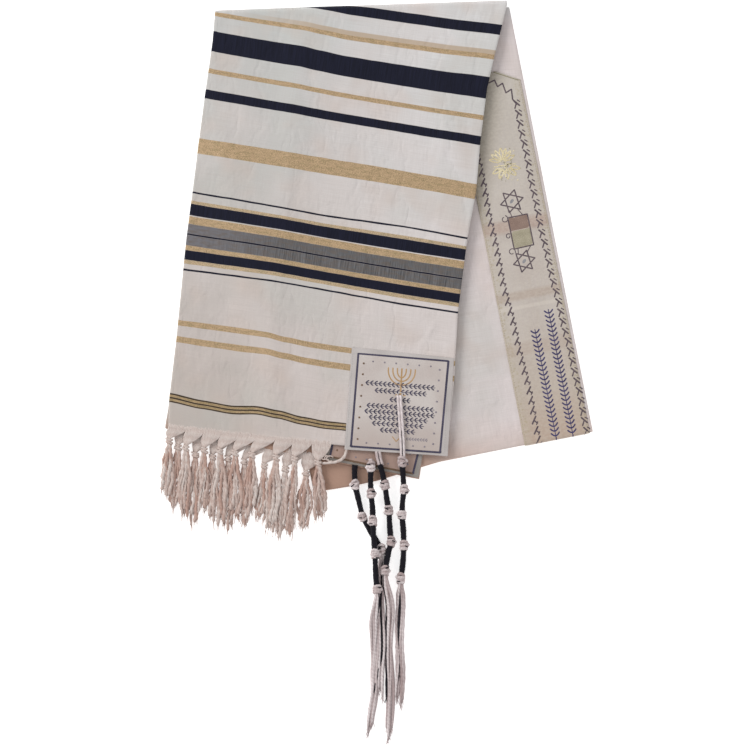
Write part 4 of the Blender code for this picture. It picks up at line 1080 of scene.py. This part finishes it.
class Strokes(Pile):
    """Narrow stitched lines and small fills that lie on one surface."""

    def __init__(self, place):
        super().__init__()
        self.place = place

    def grid(self, flat, lifts, mark):
        """Add a net of places, given as distances on the surface."""
        flat = np.asarray(flat, float)
        points = self.place(flat[..., 0], flat[..., 1], lifts)
        quads = net_faces(self.numbers(*points.shape[:2]))
        facing = np.cross(points[0, 1] - points[0, 0], points[1, 0] - points[0, 0])
        value = np.zeros(points.shape)
        value[..., :2] = flat * MM
        self.keep(points, value, (quads if facing[2] > 0.0 else quads[:, ::-1]).tolist(), mark)

    def line(self, path, width, mark, crown=0.3):
        """One line of thread, narrow and slightly raised."""
        path = np.asarray(path, float)
        run = unit_rows(np.gradient(path, axis=0))
        side = np.stack([-run[:, 1], run[:, 0]], axis=-1)
        ends = np.concatenate([path[:1] - run[:1] * width * 0.3, path, path[-1:] + run[-1:] * width * 0.3])
        side = np.concatenate([side[:1], side, side[-1:]])
        reach = np.full(len(ends), width / 2.0)
        reach[[0, -1]] *= 0.35
        shifts = np.array([-1.0, 0.0, 1.0])
        flat = ends[:, None] + side[:, None] * shifts[None, :, None] * reach[:, None, None]
        self.grid(flat, np.broadcast_to(np.array([STITCH_EDGE, crown, STITCH_EDGE]), flat.shape[:2]), mark)

    def segments(self, places, width, mark, closed=False, crown=0.3):
        """Straight lines from place to place."""
        places = [np.asarray(place, float) for place in places]
        for start, end in zip(places, places[1:] + (places[:1] if closed else [])):
            count = max(2, int(np.linalg.norm(end - start) / 2.5) + 1)
            self.line(mix(start, end, np.linspace(0.0, 1.0, count)[:, None]), width, mark, crown)

    def arc(self, centre, size_x, size_y, angle, width, mark, crown=0.3):
        """Part of an ellipse or of a curl."""
        path = np.stack([centre[0] + size_x * np.cos(angle), centre[1] + size_y * np.sin(angle)], axis=-1)
        self.line(path, width, mark, crown)

    def leaf(self, centre, turn, length, width, stroke, mark):
        """Two arcs that meet at both ends."""
        share = np.linspace(-1.0, 1.0, 8)
        for hand in (-1.0, 1.0):
            along = share * length / 2.0
            out = hand * (1.0 - share ** 2) * width / 2.0
            x = centre[0] + along * math.cos(turn) - out * math.sin(turn)
            y = centre[1] + along * math.sin(turn) + out * math.cos(turn)
            self.line(np.stack([x, y], axis=-1), stroke, mark)

    def dot(self, centre, size, mark, crown=0.3):
        """A round dot."""
        ring = np.stack(circle(9, closed=True), axis=-1)
        reach = np.array([size * 0.02, size * 0.7, size]) / 2.0
        flat = np.asarray(centre, float) + ring[None] * reach[:, None, None]
        self.grid(flat, np.broadcast_to(np.array([crown, crown, STITCH_EDGE])[:, None], flat.shape[:2]), mark)

    def panel(self, corners, columns, rows, mark, lift):
        """A filled four-sided patch."""
        across, share = np.meshgrid(np.linspace(0.0, 1.0, columns), np.linspace(0.0, 1.0, rows))
        low = mix(corners[0], corners[1], across[..., None])
        high = mix(corners[3], corners[2], across[..., None])
        edge = np.minimum(np.minimum(across, 1.0 - across), np.minimum(share, 1.0 - share))
        flat = low * (1.0 - share[..., None]) + high * share[..., None]
        self.grid(flat, np.where(edge < 0.001, STITCH_EDGE, lift), mark)

    def star(self, centre, radius, turn, line_mark, fill_mark):
        """Two laced triangles in outline, with a small square in the middle."""
        centre = np.asarray(centre)
        for hand in (0.0, math.pi):
            angles = [turn + hand + step * FULL_TURN / 3.0 for step in range(4)]
            corners = [centre + radius * np.array([math.cos(angle), math.sin(angle)]) for angle in angles]
            for start, end in zip(corners, corners[1:]):
                self.segments([start, mix(start, end, 0.62)], 1.6, line_mark)
                self.segments([mix(start, end, 0.72), end], 1.6, line_mark)
        square = [centre + np.array(place) * 2.3 for place in ((-1, -1), (1, -1), (1, 1), (-1, 1))]
        self.panel(square, 3, 3, fill_mark, 0.4)

    def branch(self, start, end, height, pitch, width, mark, lean=0.62):
        """A straight stem with even pairs of slanting leaves."""
        start = np.asarray(start, float)
        end = np.asarray(end, float)
        run = unit_rows(end - start)
        up = np.array([-run[1], run[0]])
        length = float(np.linalg.norm(end - start))
        pairs = max(2, int(round(length / pitch)))
        self.segments([start, end], width * 0.7, mark, crown=0.25)
        share = np.linspace(0.0, 1.0, 5)[:, None]
        for pair in range(pairs):
            root = start + run * length * (pair + 0.2) / pairs
            for hand in (-1.0, 1.0):
                tip = root + up * hand * height * 0.46 + run * pitch * lean
                curve = mix(root, tip, share) - run * np.sin(math.pi * share) * pitch * 0.14
                self.line(curve, width * 1.25, mark, crown=0.25)


def make_band_ornament(materials):
    """Border sprigs, stars, the small panel, the gold spray and the blue rows of the neckband."""
    chance = np.random.default_rng(7)
    outline, blue, brown, olive, gold, grey, seam = range(7)
    strokes = Strokes(band_point)
    for row in range(36):
        up = 2.0 + 10.15 * row
        right = 5.3 + 6.0 * smooth((row - 3.0) / 20.0) + 0.4 * math.sin(1.3 * row)
        left = 55.0 + 5.0 * smooth((row - 3.0) / 16.0) + 0.4 * math.sin(0.9 * row)
        for side, top, sprig in ((right, 343.0, RIGHT_SPRIG), (left, 352.0, LEFT_SPRIG)):
            if up < top:
                lean = chance.uniform(-0.3, 0.3)
                for from_side, from_up, to_side, to_up, width in sprig:
                    ends = [(side + from_side, up + from_up + lean), (side + to_side, up + to_up)]
                    strokes.segments(ends, width, outline)
                    lean = 0.0
    strokes.segments(BAND_ZIGZAG, 1.7, outline)
    strokes.segments([(5.4, 360.2), (27.5, 372.4)], 1.3, seam)
    for centre, radius in (((34.9, 242.3), 11.8), ((34.3, 181.0), 11.2)):
        strokes.star(centre, radius, 1.98, outline, grey)
    corners = [(41.8, 194.8), (21.8, 195.4), (22.2, 226.9), (42.2, 226.6)]
    middle_left = mix(corners[0], corners[3], 0.56)
    middle_right = mix(corners[1], corners[2], 0.56)
    strokes.panel([corners[0], corners[1], middle_right, middle_left], 9, 9, olive, 0.3)
    strokes.panel([middle_left, middle_right, corners[2], corners[3]], 9, 8, brown, 0.3)
    strokes.segments(corners, 1.4, outline, closed=True, crown=0.5)
    angle = np.linspace(0.0, 5.6, 16)
    for centre, size, turn, hand in (((45.5, 226.0), 3.6, 2.0, 1.0), ((45.0, 208.5), 2.6, 2.4, -1.0),
                                     ((44.5, 192.5), 3.6, 3.6, -1.0)):
        reach = size * (1.0 - 0.08 * angle)
        strokes.arc(centre, reach, reach, turn + hand * angle, 1.1, outline)
    for ends in (((38.0, 227.0), (39.0, 233.5)), ((27.0, 227.2), (30.5, 233.0)),
                 ((38.0, 194.5), (38.5, 190.0)), ((25.0, 195.0), (29.5, 189.5))):
        strokes.segments(ends, 1.1, outline)
    for centre, leaves, middle, step, size_x, size_y, length, width, stroke in GOLD_SPRAYS:
        for order in range(leaves):
            turn = middle + (order - (leaves - 1) / 2.0) * step
            place = (centre[0] + size_x * math.cos(turn), centre[1] + size_y * math.sin(turn))
            strokes.leaf(place, turn, length, width, stroke, gold)
    strokes.segments([(24.0, 278.6), (45.5, 279.4)], 1.2, gold)
    for _ in range(110):
        place = (34.8 + chance.normal(0.0, 6.0), 280.0 + chance.normal(0.0, 8.5))
        strokes.dot(place, chance.uniform(0.8, 1.9), gold if chance.uniform() < 0.7 else olive)
    for side, top in ((20.0, 129.0), (37.0, 112.0)):
        strokes.branch((side, 2.4), (side, top), 9.0, 4.7, 1.5, blue)
        strokes.line(np.stack([np.full(9, side), np.linspace(-4.0, 2.0, 9)], axis=-1), 1.4, blue)
    strokes.finish("neckband_ornament", materials, "neckband")


def make_patch_ornament(name, corners, level, materials, full):
    """Printed frame, dots, candelabrum and leaf branches of a patch."""
    navy, gold, brown, grey, white = range(5)
    strokes = Strokes(lambda right, up, lift: patch_point(corners, level, right, up, PRINT_LEVEL + lift))
    for order, (start, end) in enumerate(zip(PATCH_FRAME, PATCH_FRAME[1:] + PATCH_FRAME[:1])):
        # On the second end's patch the lower frame line is drawn brown: the navy print line with painted warm
        # shade, where it lies under the front's fringed end.
        mark = navy if full or order else brown
        strokes.segments([start, end], 2.6 if order % 2 else 2.1, mark, crown=0.22)
    for step in range(8):
        up = 9.8 + 10.77 * step
        strokes.dot((11.3 + 0.14 * step, up), 2.2, brown)
        strokes.dot((83.2 + 0.44 * step, up), 2.2, grey)
    for step in range(6):
        strokes.dot((19.9 + 11.05 * step, 6.6), 2.0, grey)
        strokes.dot((21.2 + 11.25 * step, 87.9), 2.0, grey)
    if full:
        middle = 49.6
        for reach in (4.3, 8.7, 13.1):
            angle = np.linspace(math.pi, FULL_TURN, 20)
            strokes.arc((middle, 81.2), reach, 3.4 + reach * 0.86, angle, 1.75, gold, 0.22)
            for side in (middle - reach, middle + reach):
                strokes.segments([(side, 81.0), (side, 83.0)], 1.75, gold, crown=0.22)
        for places, width in ((((middle, 83.0), (middle, 57.0)), 2.1), (((45.0, 56.5), (54.2, 56.5)), 1.5),
                              (((44.2, 14.4), (48.0, 9.9), (51.8, 14.4)), 1.2)):
            strokes.segments(places, width, gold, crown=0.22)
        for up, left, right in PATCH_ROWS:
            strokes.branch((left, up), (right, up), 4.7, 4.3, 1.2, navy, 0.5)
        strokes.branch((57.3, 13.2), (77.9, 13.2), 2.9, 2.7, 0.75, grey, 0.5)
        strokes.arc((49.4, 57.0), 2.3, 2.3, np.linspace(0.0, FULL_TURN, 17), 1.3, white, 0.35)
    strokes.finish(name, materials, "patch")


class Shading:
    """Builds one procedural material."""

    def __init__(self, name):
        self.material = bpy.data.materials.new(name)
        self.material.use_nodes = True
        self.tree = self.material.node_tree
        self.shader = self.tree.nodes["Principled BSDF"]

    def node(self, kind, **settings):
        """Add a node with some settings."""
        made = self.tree.nodes.new(kind)
        for label, value in settings.items():
            setattr(made, label, value)
        return made

    def link(self, value, socket):
        """Feed a socket from a number, a colour or another socket."""
        if isinstance(value, bpy.types.NodeSocket):
            self.tree.links.new(value, socket)
        elif isinstance(value, (tuple, list)) and len(value) == 3 and socket.type == "RGBA":
            socket.default_value = (*value, 1.0)
        else:
            socket.default_value = value

    def math(self, operation, first, second=0.0):
        """One arithmetic step."""
        made = self.node("ShaderNodeMath", operation=operation)
        self.link(first, made.inputs[0])
        self.link(second, made.inputs[1])
        return made.outputs[0]

    def product(self, first, second):
        """Two values multiplied."""
        return self.math("MULTIPLY", first, second)

    def away(self, value, centre):
        """How far a value is from a centre."""
        return self.math("ABSOLUTE", self.math("SUBTRACT", value, centre))

    def total(self, *parts):
        """Sum of values, each with its weight."""
        terms = [self.product(value, weight) for value, weight in parts]
        result = terms[0]
        for term in terms[1:]:
            result = self.math("ADD", result, term)
        return result

    def largest(self, *values):
        """The largest of some values."""
        result = values[0]
        for value in values[1:]:
            result = self.math("MAXIMUM", result, value)
        return result

    def fit(self, value, low, high, out_low=0.0, out_high=1.0):
        """Map a range of values to another, with both ends held."""
        made = self.node("ShaderNodeMapRange", clamp=True)
        for socket, number in zip(made.inputs, (value, low, high, out_low, out_high)):
            self.link(number, socket)
        return made.outputs[0]

    def blend(self, share, first, second):
        """Mix two colours."""
        made = self.node("ShaderNodeMix", data_type="RGBA", blend_type="MIX")
        self.link(share, made.inputs[0])
        self.link(first, made.inputs[6])
        self.link(second, made.inputs[7])
        return made.outputs[2]

    def tints(self, ground, *rows):
        """Blend tones over a ground: each has a value, where it starts and is full, its most, and a tone."""
        for value, start, full, most, tone in rows:
            ground = self.blend(self.fit(value, start, full, 0.0, most), ground, tone)
        return ground

    def noise(self, vector, scale, detail=2.0, rough=0.5):
        """Soft random values."""
        made = self.node("ShaderNodeTexNoise")
        self.link(vector, made.inputs["Vector"])
        made.inputs["Scale"].default_value = scale
        made.inputs["Detail"].default_value = detail
        made.inputs["Roughness"].default_value = rough
        return made.outputs["Fac"]

    def stretched(self, vector, scale):
        """Coordinates stretched along some axes."""
        made = self.node("ShaderNodeMapping")
        self.link(vector, made.inputs["Vector"])
        made.inputs["Scale"].default_value = scale
        return made.outputs["Vector"]

    def streaks(self, vector, scale, detail=2.0, rough=0.5):
        """Soft random values on stretched coordinates."""
        return self.noise(self.stretched(vector, scale), 1.0, detail, rough)

    def weave(self, u, v, pitch_u, pitch_v):
        """Over and under of a plain weave."""
        wave_u = self.math("SINE", self.product(u, math.pi / pitch_u))
        wave_v = self.math("SINE", self.product(v, math.pi / pitch_v))
        return self.product(wave_u, wave_v)

    def stitches(self, distance, along, rate):
        """A dashed sewn line."""
        dash = self.math("SINE", self.product(along, rate))
        return self.product(self.fit(distance, 0.0002, 0.0005, 1.0, 0.0), self.fit(dash, -0.2, 0.2))

    def attribute(self, name):
        """A stored coordinate, and its three parts."""
        made = self.node("ShaderNodeAttribute", attribute_name=name)
        parts = self.node("ShaderNodeSeparateXYZ")
        self.tree.links.new(made.outputs["Vector"], parts.inputs[0])
        return made.outputs["Vector"], parts.outputs[0], parts.outputs[1], parts.outputs[2]

    def bump(self, height, distance, strength, normal=None):
        """Surface relief from a height."""
        made = self.node("ShaderNodeBump")
        made.inputs["Distance"].default_value = distance
        made.inputs["Strength"].default_value = strength
        self.link(height, made.inputs["Height"])
        if normal is not None:
            self.tree.links.new(normal, made.inputs["Normal"])
        return made.outputs["Normal"]

    def finish(self, colour, roughness, normal, sheen, specular):
        """Connect the shader."""
        self.link(colour, self.shader.inputs["Base Color"])
        self.link(roughness, self.shader.inputs["Roughness"])
        if normal is not None:
            self.tree.links.new(normal, self.shader.inputs["Normal"])
        self.shader.inputs["Sheen Weight"].default_value = sheen
        self.shader.inputs["Sheen Roughness"].default_value = 0.5
        self.shader.inputs["Specular IOR Level"].default_value = specular
        return self.material


def stripe_masks(shade, v):
    """Where each yarn's stripes lie along the cloth."""
    masks = {}
    for start, end, yarn in STRIPES:
        half = (end - start) / 2.0 * MM
        offset = shade.away(v, (start + end) / 2.0 * MM)
        mask = shade.fit(offset, half - 0.0002, half + 0.0002, 1.0, 0.0)
        masks[yarn] = shade.math("MAXIMUM", masks[yarn], mask) if yarn in masks else mask
    return masks


def stripe_tone(shade, yarn, u, warp, glitter, slant):
    """Uneven tone of one stripe yarn."""
    dark = tuple(value * 0.55 for value in YARNS[yarn])
    light = tuple(min(1.0, value * 1.45) for value in YARNS[yarn])
    if yarn in ("gold", "pale_gold", "olive_light"):
        shown = shade.blend(shade.fit(glitter, 0.35, 0.68), dark, light)
        return shade.tints(shown, (slant, 0.35, 0.7, 0.6, (0.50, 0.35, 0.215)),
                           (slant, 0.5, 0.3, 0.5, (0.30, 0.235, 0.125)))
    if yarn == "heather":
        shown = shade.blend(shade.fit(warp, 0.3, 0.7), dark, light)
        return shade.tints(shown, (u, 0.10, 0.0, 1.0, (0.165, 0.16, 0.175)),
                           (slant, 0.42, 0.62, 0.5, (0.135, 0.105, 0.085)))
    return shade.blend(shade.fit(warp, 0.3, 0.75), dark, light)


def cloth_material():
    """White plain weave with navy, gold, grey and olive stripes."""
    shade = Shading("shawl_weave")
    vector, u, v, shaded = shade.attribute("cloth")
    vector = shade.stretched(vector, (1.0, 1.0, 0.0))
    wobble = shade.math("SUBTRACT", shade.streaks(vector, (60.0, 900.0, 1.0)), 0.5)
    masks = stripe_masks(shade, shade.math("ADD", v, shade.product(wobble, 0.0007)))
    upper = shade.fit(shade.away(v, 0.4163), 0.0020, 0.0026, 1.0, 0.0)
    upper = shade.product(upper, shade.fit(u, 0.02, 0.11))
    # Painted light and shade on the plain ground: darker towards the lengthwise fold is painted shade, and
    # warmer and pinker towards the fringed end is painted warm light.
    inward = shade.fit(u, 0.04, 0.25)
    cool_lit_ground = shade.blend(inward, (0.490, 0.505, 0.500), (0.685, 0.675, 0.685))
    warm_lit_ground = shade.blend(inward, (0.490, 0.420, 0.385), (0.685, 0.610, 0.590))
    cloud = shade.noise(vector, 9.0, 3.0)
    warp = shade.streaks(vector, (1500.0, 40.0, 1.0))
    weft = shade.streaks(vector, (160.0, 1800.0, 1.0))
    colour = shade.tints(
        shade.blend(shade.fit(v, 0.0, 0.40, 1.0, 0.0), cool_lit_ground, warm_lit_ground),
        (v, 0.472, 0.49, 1.0, (0.745, 0.668, 0.672)),
        # painted warm shade along the neck fold
        (shade.away(v, 0.943), 0.03, 0.0, 0.6, (0.62, 0.45, 0.38)),
        (cloud, 0.45, 0.66, 0.6, (0.655, 0.595, 0.580)),
        (cloud, 0.50, 0.33, 0.5, (0.500, 0.510, 0.480)),
        (shade.noise(vector, 21.0), 0.5, 0.72, 0.45, (0.57, 0.465, 0.41)),
        (shade.streaks(vector, (25.0, 1400.0, 1.0)), 0.3, 0.75, 0.3, (0.43, 0.385, 0.36)),
        (shade.streaks(vector, (1100.0, 30.0, 1.0)), 0.35, 0.8, 0.22, (0.44, 0.40, 0.38)),
        # painted warm shade under the front's fringed end
        (shaded, 0.0, 1.0, 1.0, (0.40, 0.255, 0.195)),
        (upper, 0.0, 1.0, 0.8, (0.43, 0.325, 0.225)),
    )
    glitter = shade.streaks(vector, (900.0, 1300.0, 1.0), 1.0)
    slant = shade.streaks(vector, (130.0, 420.0, 1.0), 3.0)
    for yarn, mask in masks.items():
        colour = shade.blend(mask, colour, stripe_tone(shade, yarn, u, warp, glitter, slant))
    golden = shade.math("MAXIMUM", masks["gold"], masks["pale_gold"])
    rough = shade.fit(shade.product(golden, glitter), 0.0, 0.6, 0.86, 0.42)
    height = shade.total((shade.weave(u, v, 0.00062, 0.00055), 0.45), (warp, 0.6), (weft, 0.9))
    normal = shade.bump(height, 0.00016, 0.7)
    crease = shade.away(shade.streaks(vector, (17.0, 9.0, 1.0), 4.0, 0.6), 0.5)
    relief = shade.total((shade.noise(vector, 30.0, 4.0), 1.0), (shade.fit(crease, 0.0, 0.05), 0.28))
    normal = shade.bump(relief, 0.0026, 0.5, normal)
    return shade.finish(colour, rough, normal, 0.08, 0.18)


def band_material():
    """Champagne satin brocade."""
    shade = Shading("band_satin")
    vector, u, v, _ = shade.attribute("cloth")
    cloud = shade.noise(vector, 22.0, 3.0)
    edge = shade.math("MAXIMUM", shade.fit(u, 0.012, 0.007), shade.fit(u, 0.059, 0.064))
    speck = shade.node("ShaderNodeTexVoronoi", feature="F1")
    shade.link(vector, speck.inputs["Vector"])
    speck.inputs["Scale"].default_value = 330.0
    spots = shade.product(shade.fit(speck.outputs["Distance"], 0.42, 0.25), edge)
    # Painted shadow of the front's raised right edge, fading out over 20 mm across the band beside it.
    slope = shade.product(shade.math("SUBTRACT", 0.384, v), 0.3285)
    beside = shade.math("SUBTRACT", u, shade.math("ADD", 0.0264, slope))
    pattern = shade.fit(shade.streaks(vector, (260.0, 420.0, 1.0), 3.0, 0.6), 0.42, 0.6)
    middle = shade.away(u, 0.036)
    stitch = shade.stitches(shade.away(middle, 0.0315), v, 2500.0)
    # Painted soft crease shading across the band: brownish strips of painted shade, and under one of them a
    # painted highlight line.
    painted_crease_strips = [(shade.away(v, place), half, half * 0.45, most, tone) for place, half, tone, most in (
        (0.2180, 0.0085, (0.36, 0.215, 0.17), 0.55),
        (0.1480, 0.0060, (0.36, 0.26, 0.20), 0.5),
        (0.1365, 0.0025, (0.66, 0.60, 0.54), 0.5),
        (0.0950, 0.0090, (0.40, 0.29, 0.23), 0.35),
    )]
    colour = shade.tints(
        shade.blend(shade.fit(cloud, 0.3, 0.7), (0.475, 0.415, 0.382), (0.56, 0.51, 0.475)),
        # painted warm shade towards the neck fold
        (v, 0.13, 0.0, 1.0, (0.475, 0.39, 0.32)),
        (v, 0.05, 0.0, 0.7, (0.46, 0.33, 0.26)),
        (v, 0.20, 0.32, 0.5, (0.465, 0.435, 0.395)),
        (edge, 0.0, 1.0, 0.3, (0.48, 0.425, 0.345)),
        (spots, 0.0, 1.0, 0.45, (0.36, 0.29, 0.15)),
        *painted_crease_strips,
        # painted shadow beside the front's edge
        (beside, -0.020, 0.0, 0.6, (0.255, 0.225, 0.165)),
        (shade.streaks(vector, (1500.0, 60.0, 1.0)), 0.3, 0.7, 0.25, (0.42, 0.35, 0.27)),
        (pattern, 0.0, 1.0, 0.22, (0.62, 0.57, 0.49)),
        (middle, 0.0312, 0.0318, 0.35, (0.45, 0.38, 0.28)),
        (stitch, 0.0, 1.0, 0.7, (0.36, 0.30, 0.22)),
    )
    height = shade.total((shade.weave(u, v, 0.0004, 0.0006), 0.4), (pattern, 0.8), (stitch, -1.5))
    rough = shade.fit(pattern, 0.0, 1.0, 0.55, 0.40)
    return shade.finish(colour, rough, shade.bump(height, 0.0002, 0.6), 0.2, 0.5)


def patch_material():
    """Ivory satin with a grey-blue ribbon border."""
    shade = Shading("patch_satin")
    vector, u, v, shaded = shade.attribute("cloth")
    vector = shade.stretched(vector, (1.0, 1.0, 0.0))
    reach = shade.math("MAXIMUM", shade.away(u, 0.048), shade.away(v, 0.048))
    right_line = shade.math("ADD", 0.0901, shade.product(v, 0.044))
    beyond = shade.largest(shade.math("SUBTRACT", 0.0058, u), shade.math("SUBTRACT", u, right_line),
                           shade.math("SUBTRACT", 0.0020, v), shade.math("SUBTRACT", v, 0.0945))
    border = shade.fit(beyond, -0.0002, 0.0002)
    cloud = shade.fit(shade.noise(vector, 30.0), 0.35, 0.65)
    ground = shade.tints(
        shade.blend(cloud, (0.51, 0.445, 0.42), (0.585, 0.535, 0.51)),
        (v, 0.035, 0.008, 0.6, (0.46, 0.38, 0.345)),
        # painted warm shade under the front's fringed end, only on the second end's patch
        (shaded, 0.0, 1.0, 0.9, (0.36, 0.225, 0.18)),
    )
    ribbon = shade.blend(cloud, (0.44, 0.405, 0.395), (0.53, 0.49, 0.48))
    # painted warm shade on the ribbon under the front's fringed end
    ribbon = shade.tints(ribbon, (shaded, 0.0, 1.0, 0.85, (0.205, 0.18, 0.155)))
    stitch = shade.stitches(shade.away(reach, 0.0466), shade.math("ADD", u, v), 2600.0)
    colour = shade.tints(
        shade.blend(border, ground, ribbon),
        (shade.streaks(vector, (1400.0, 120.0, 1.0)), 0.3, 0.7, 0.15, (0.40, 0.36, 0.33)),
        (stitch, 0.0, 1.0, 0.6, (0.35, 0.34, 0.34)),
    )
    height = shade.total((shade.weave(u, v, 0.0004, 0.0005), 0.5), (border, 1.0), (stitch, -1.0))
    rough = shade.fit(border, 0.0, 1.0, 0.6, 0.42)
    return shade.finish(colour, rough, shade.bump(height, 0.0002, 0.6), 0.15, 0.45)


def yarn_material(name, shaded, dark, light, sheen):
    """Loose twisted yarn: painted shade in the grooves of its twist, and random darker fibres."""
    shade = Shading(name)
    vector, length, angle, tint = shade.attribute("strand")
    groove = shade.math("SINE", shade.total((length, 240.0), (angle, 4.0 * math.pi)))
    fibre = shade.streaks(vector, (300.0, 6.0, 90.0), 3.0)
    colour = shade.tints(shade.blend(shade.fit(tint, 0.0, 1.0), dark, light),
                         (groove, 0.2, -1.0, 0.22, shaded), (fibre, 0.4, 0.75, 0.4, shaded))
    normal = shade.bump(shade.total((groove, 0.5), (fibre, 1.6)), 0.0002, 0.6)
    return shade.finish(colour, 0.9, normal, sheen, 0.2)


def thread_material(name, dark, light, rough=0.75):
    """Embroidery or print thread, uneven in tone."""
    shade = Shading(name)
    vector = shade.attribute("cloth")[0]
    fine = shade.streaks(vector, (1100.0, 1100.0, 1.0))
    share = shade.total((fine, 0.6), (shade.noise(vector, 90.0), 0.4))
    colour = shade.blend(shade.fit(share, 0.35, 0.65), dark, light)
    return shade.finish(colour, rough, shade.bump(fine, 0.0002, 0.6), 0.05, 0.3)


def floor_material():
    """Plain white floor, itself softly lit so that no shadow falls hard on it."""
    shade = Shading("studio_floor")
    shade.shader.inputs["Emission Color"].default_value = (1.0, 1.0, 1.0, 1.0)
    shade.shader.inputs["Emission Strength"].default_value = 0.55
    return shade.finish((0.90, 0.90, 0.90), 0.95, None, 0.0, 0.1)


def add_floor():
    """A plain pale floor."""
    mesh = bpy.data.meshes.new("floor")
    corners = ((-1, -1), (1, -1), (1, 1), (-1, 1))
    points = [(x * FLOOR_REACH, y * FLOOR_REACH, FLOOR_LEVEL) for x, y in corners]
    mesh.from_pydata(points, [], [(0, 1, 2, 3)])
    mesh.materials.append(floor_material())
    floor = bpy.data.objects.new("floor", mesh)
    bpy.context.scene.collection.objects.link(floor)


def add_area_light(name, place, size, power, colour):
    """A soft light that faces the middle of the part."""
    light = bpy.data.lights.new(name, "AREA")
    light.size = size
    light.energy = power
    light.color = colour
    item = bpy.data.objects.new(name, light)
    item.location = place
    item.rotation_euler = (-Vector(place)).to_track_quat("-Z", "Y").to_euler()
    bpy.context.scene.collection.objects.link(item)


def add_studio():
    """Camera straight over the middle of the photograph's frame, and plain soft light."""
    camera = bpy.data.cameras.new("camera")
    camera.lens = LENS
    camera.sensor_width = SENSOR_WIDTH
    camera.clip_start = 0.01
    camera.clip_end = 100.0
    item = bpy.data.objects.new("camera", camera)
    item.location = (SHIFT[0] * MM - 0.001, SHIFT[1] * MM - 0.004, FRAME_WIDTH * LENS / SENSOR_WIDTH + 0.008)
    item.rotation_euler = (0.0, 0.0, 0.0)
    bpy.context.scene.collection.objects.link(item)
    bpy.context.scene.camera = item
    add_area_light("key", (-2.1, 1.5, 1.7), 1.3, 57.0, (1.0, 0.99, 0.97))
    add_area_light("fill", (1.8, -1.2, 1.8), 1.6, 8.0, (1.0, 0.97, 0.95))
    world = bpy.data.worlds.new("studio")
    world.use_nodes = True
    background = world.node_tree.nodes["Background"]
    background.inputs["Color"].default_value = (1.0, 1.0, 1.0, 1.0)
    background.inputs["Strength"].default_value = 0.67
    bpy.context.scene.world = world
    bpy.context.scene.view_settings.view_transform = "Standard"


def main():
    """Dress the part."""
    add_studio()
    add_floor()
    cloth = cloth_material()
    make_under(cloth)
    make_back(cloth)
    make_second(cloth)
    make_front(cloth)
    make_band(band_material())
    satin = patch_material()
    second_corners = second_patch_corners()
    second_level = SECOND_TOP - BAND_WALL - GAP
    make_patch("patch_front", "corner_patch_front", FRONT_PATCH, FRONT_PATCH_EDGES, FRONT_TOP, satin,
               "front_quarter", (0.102, 0.100))
    make_patch("patch_second", "corner_patch_second", second_corners, SECOND_PATCH_EDGES, second_level, satin,
               "second_quarter", (0.098, 0.098))
    make_band_ornament([thread_material(*thread) for thread in BAND_THREADS])
    prints = [thread_material(*thread) for thread in PATCH_THREADS]
    make_patch_ornament("patch_front_print", FRONT_PATCH, FRONT_TOP, prints, True)
    make_patch_ornament("patch_second_print", second_corners, second_level, prints, False)
    white, cord, navy = (yarn_material(*yarn) for yarn in YARN_TONES)
    front_left, front_right = front_edges(0.0)
    make_fringe("fringe_front_yarn", "fringe_front", UPPER_TASSELS, front_left, front_right, UPPER_LEVELS,
                white, 100)
    make_fringe("fringe_second_yarn", "fringe_second", LOWER_TASSELS, SECOND_LOW_LEFT, SECOND_LOW_RIGHT,
                LOWER_LEVELS, white, 200)
    for number, spec in enumerate(TZITZIT, start=1):
        make_tzitzit(number, spec, [cord, navy])


main()
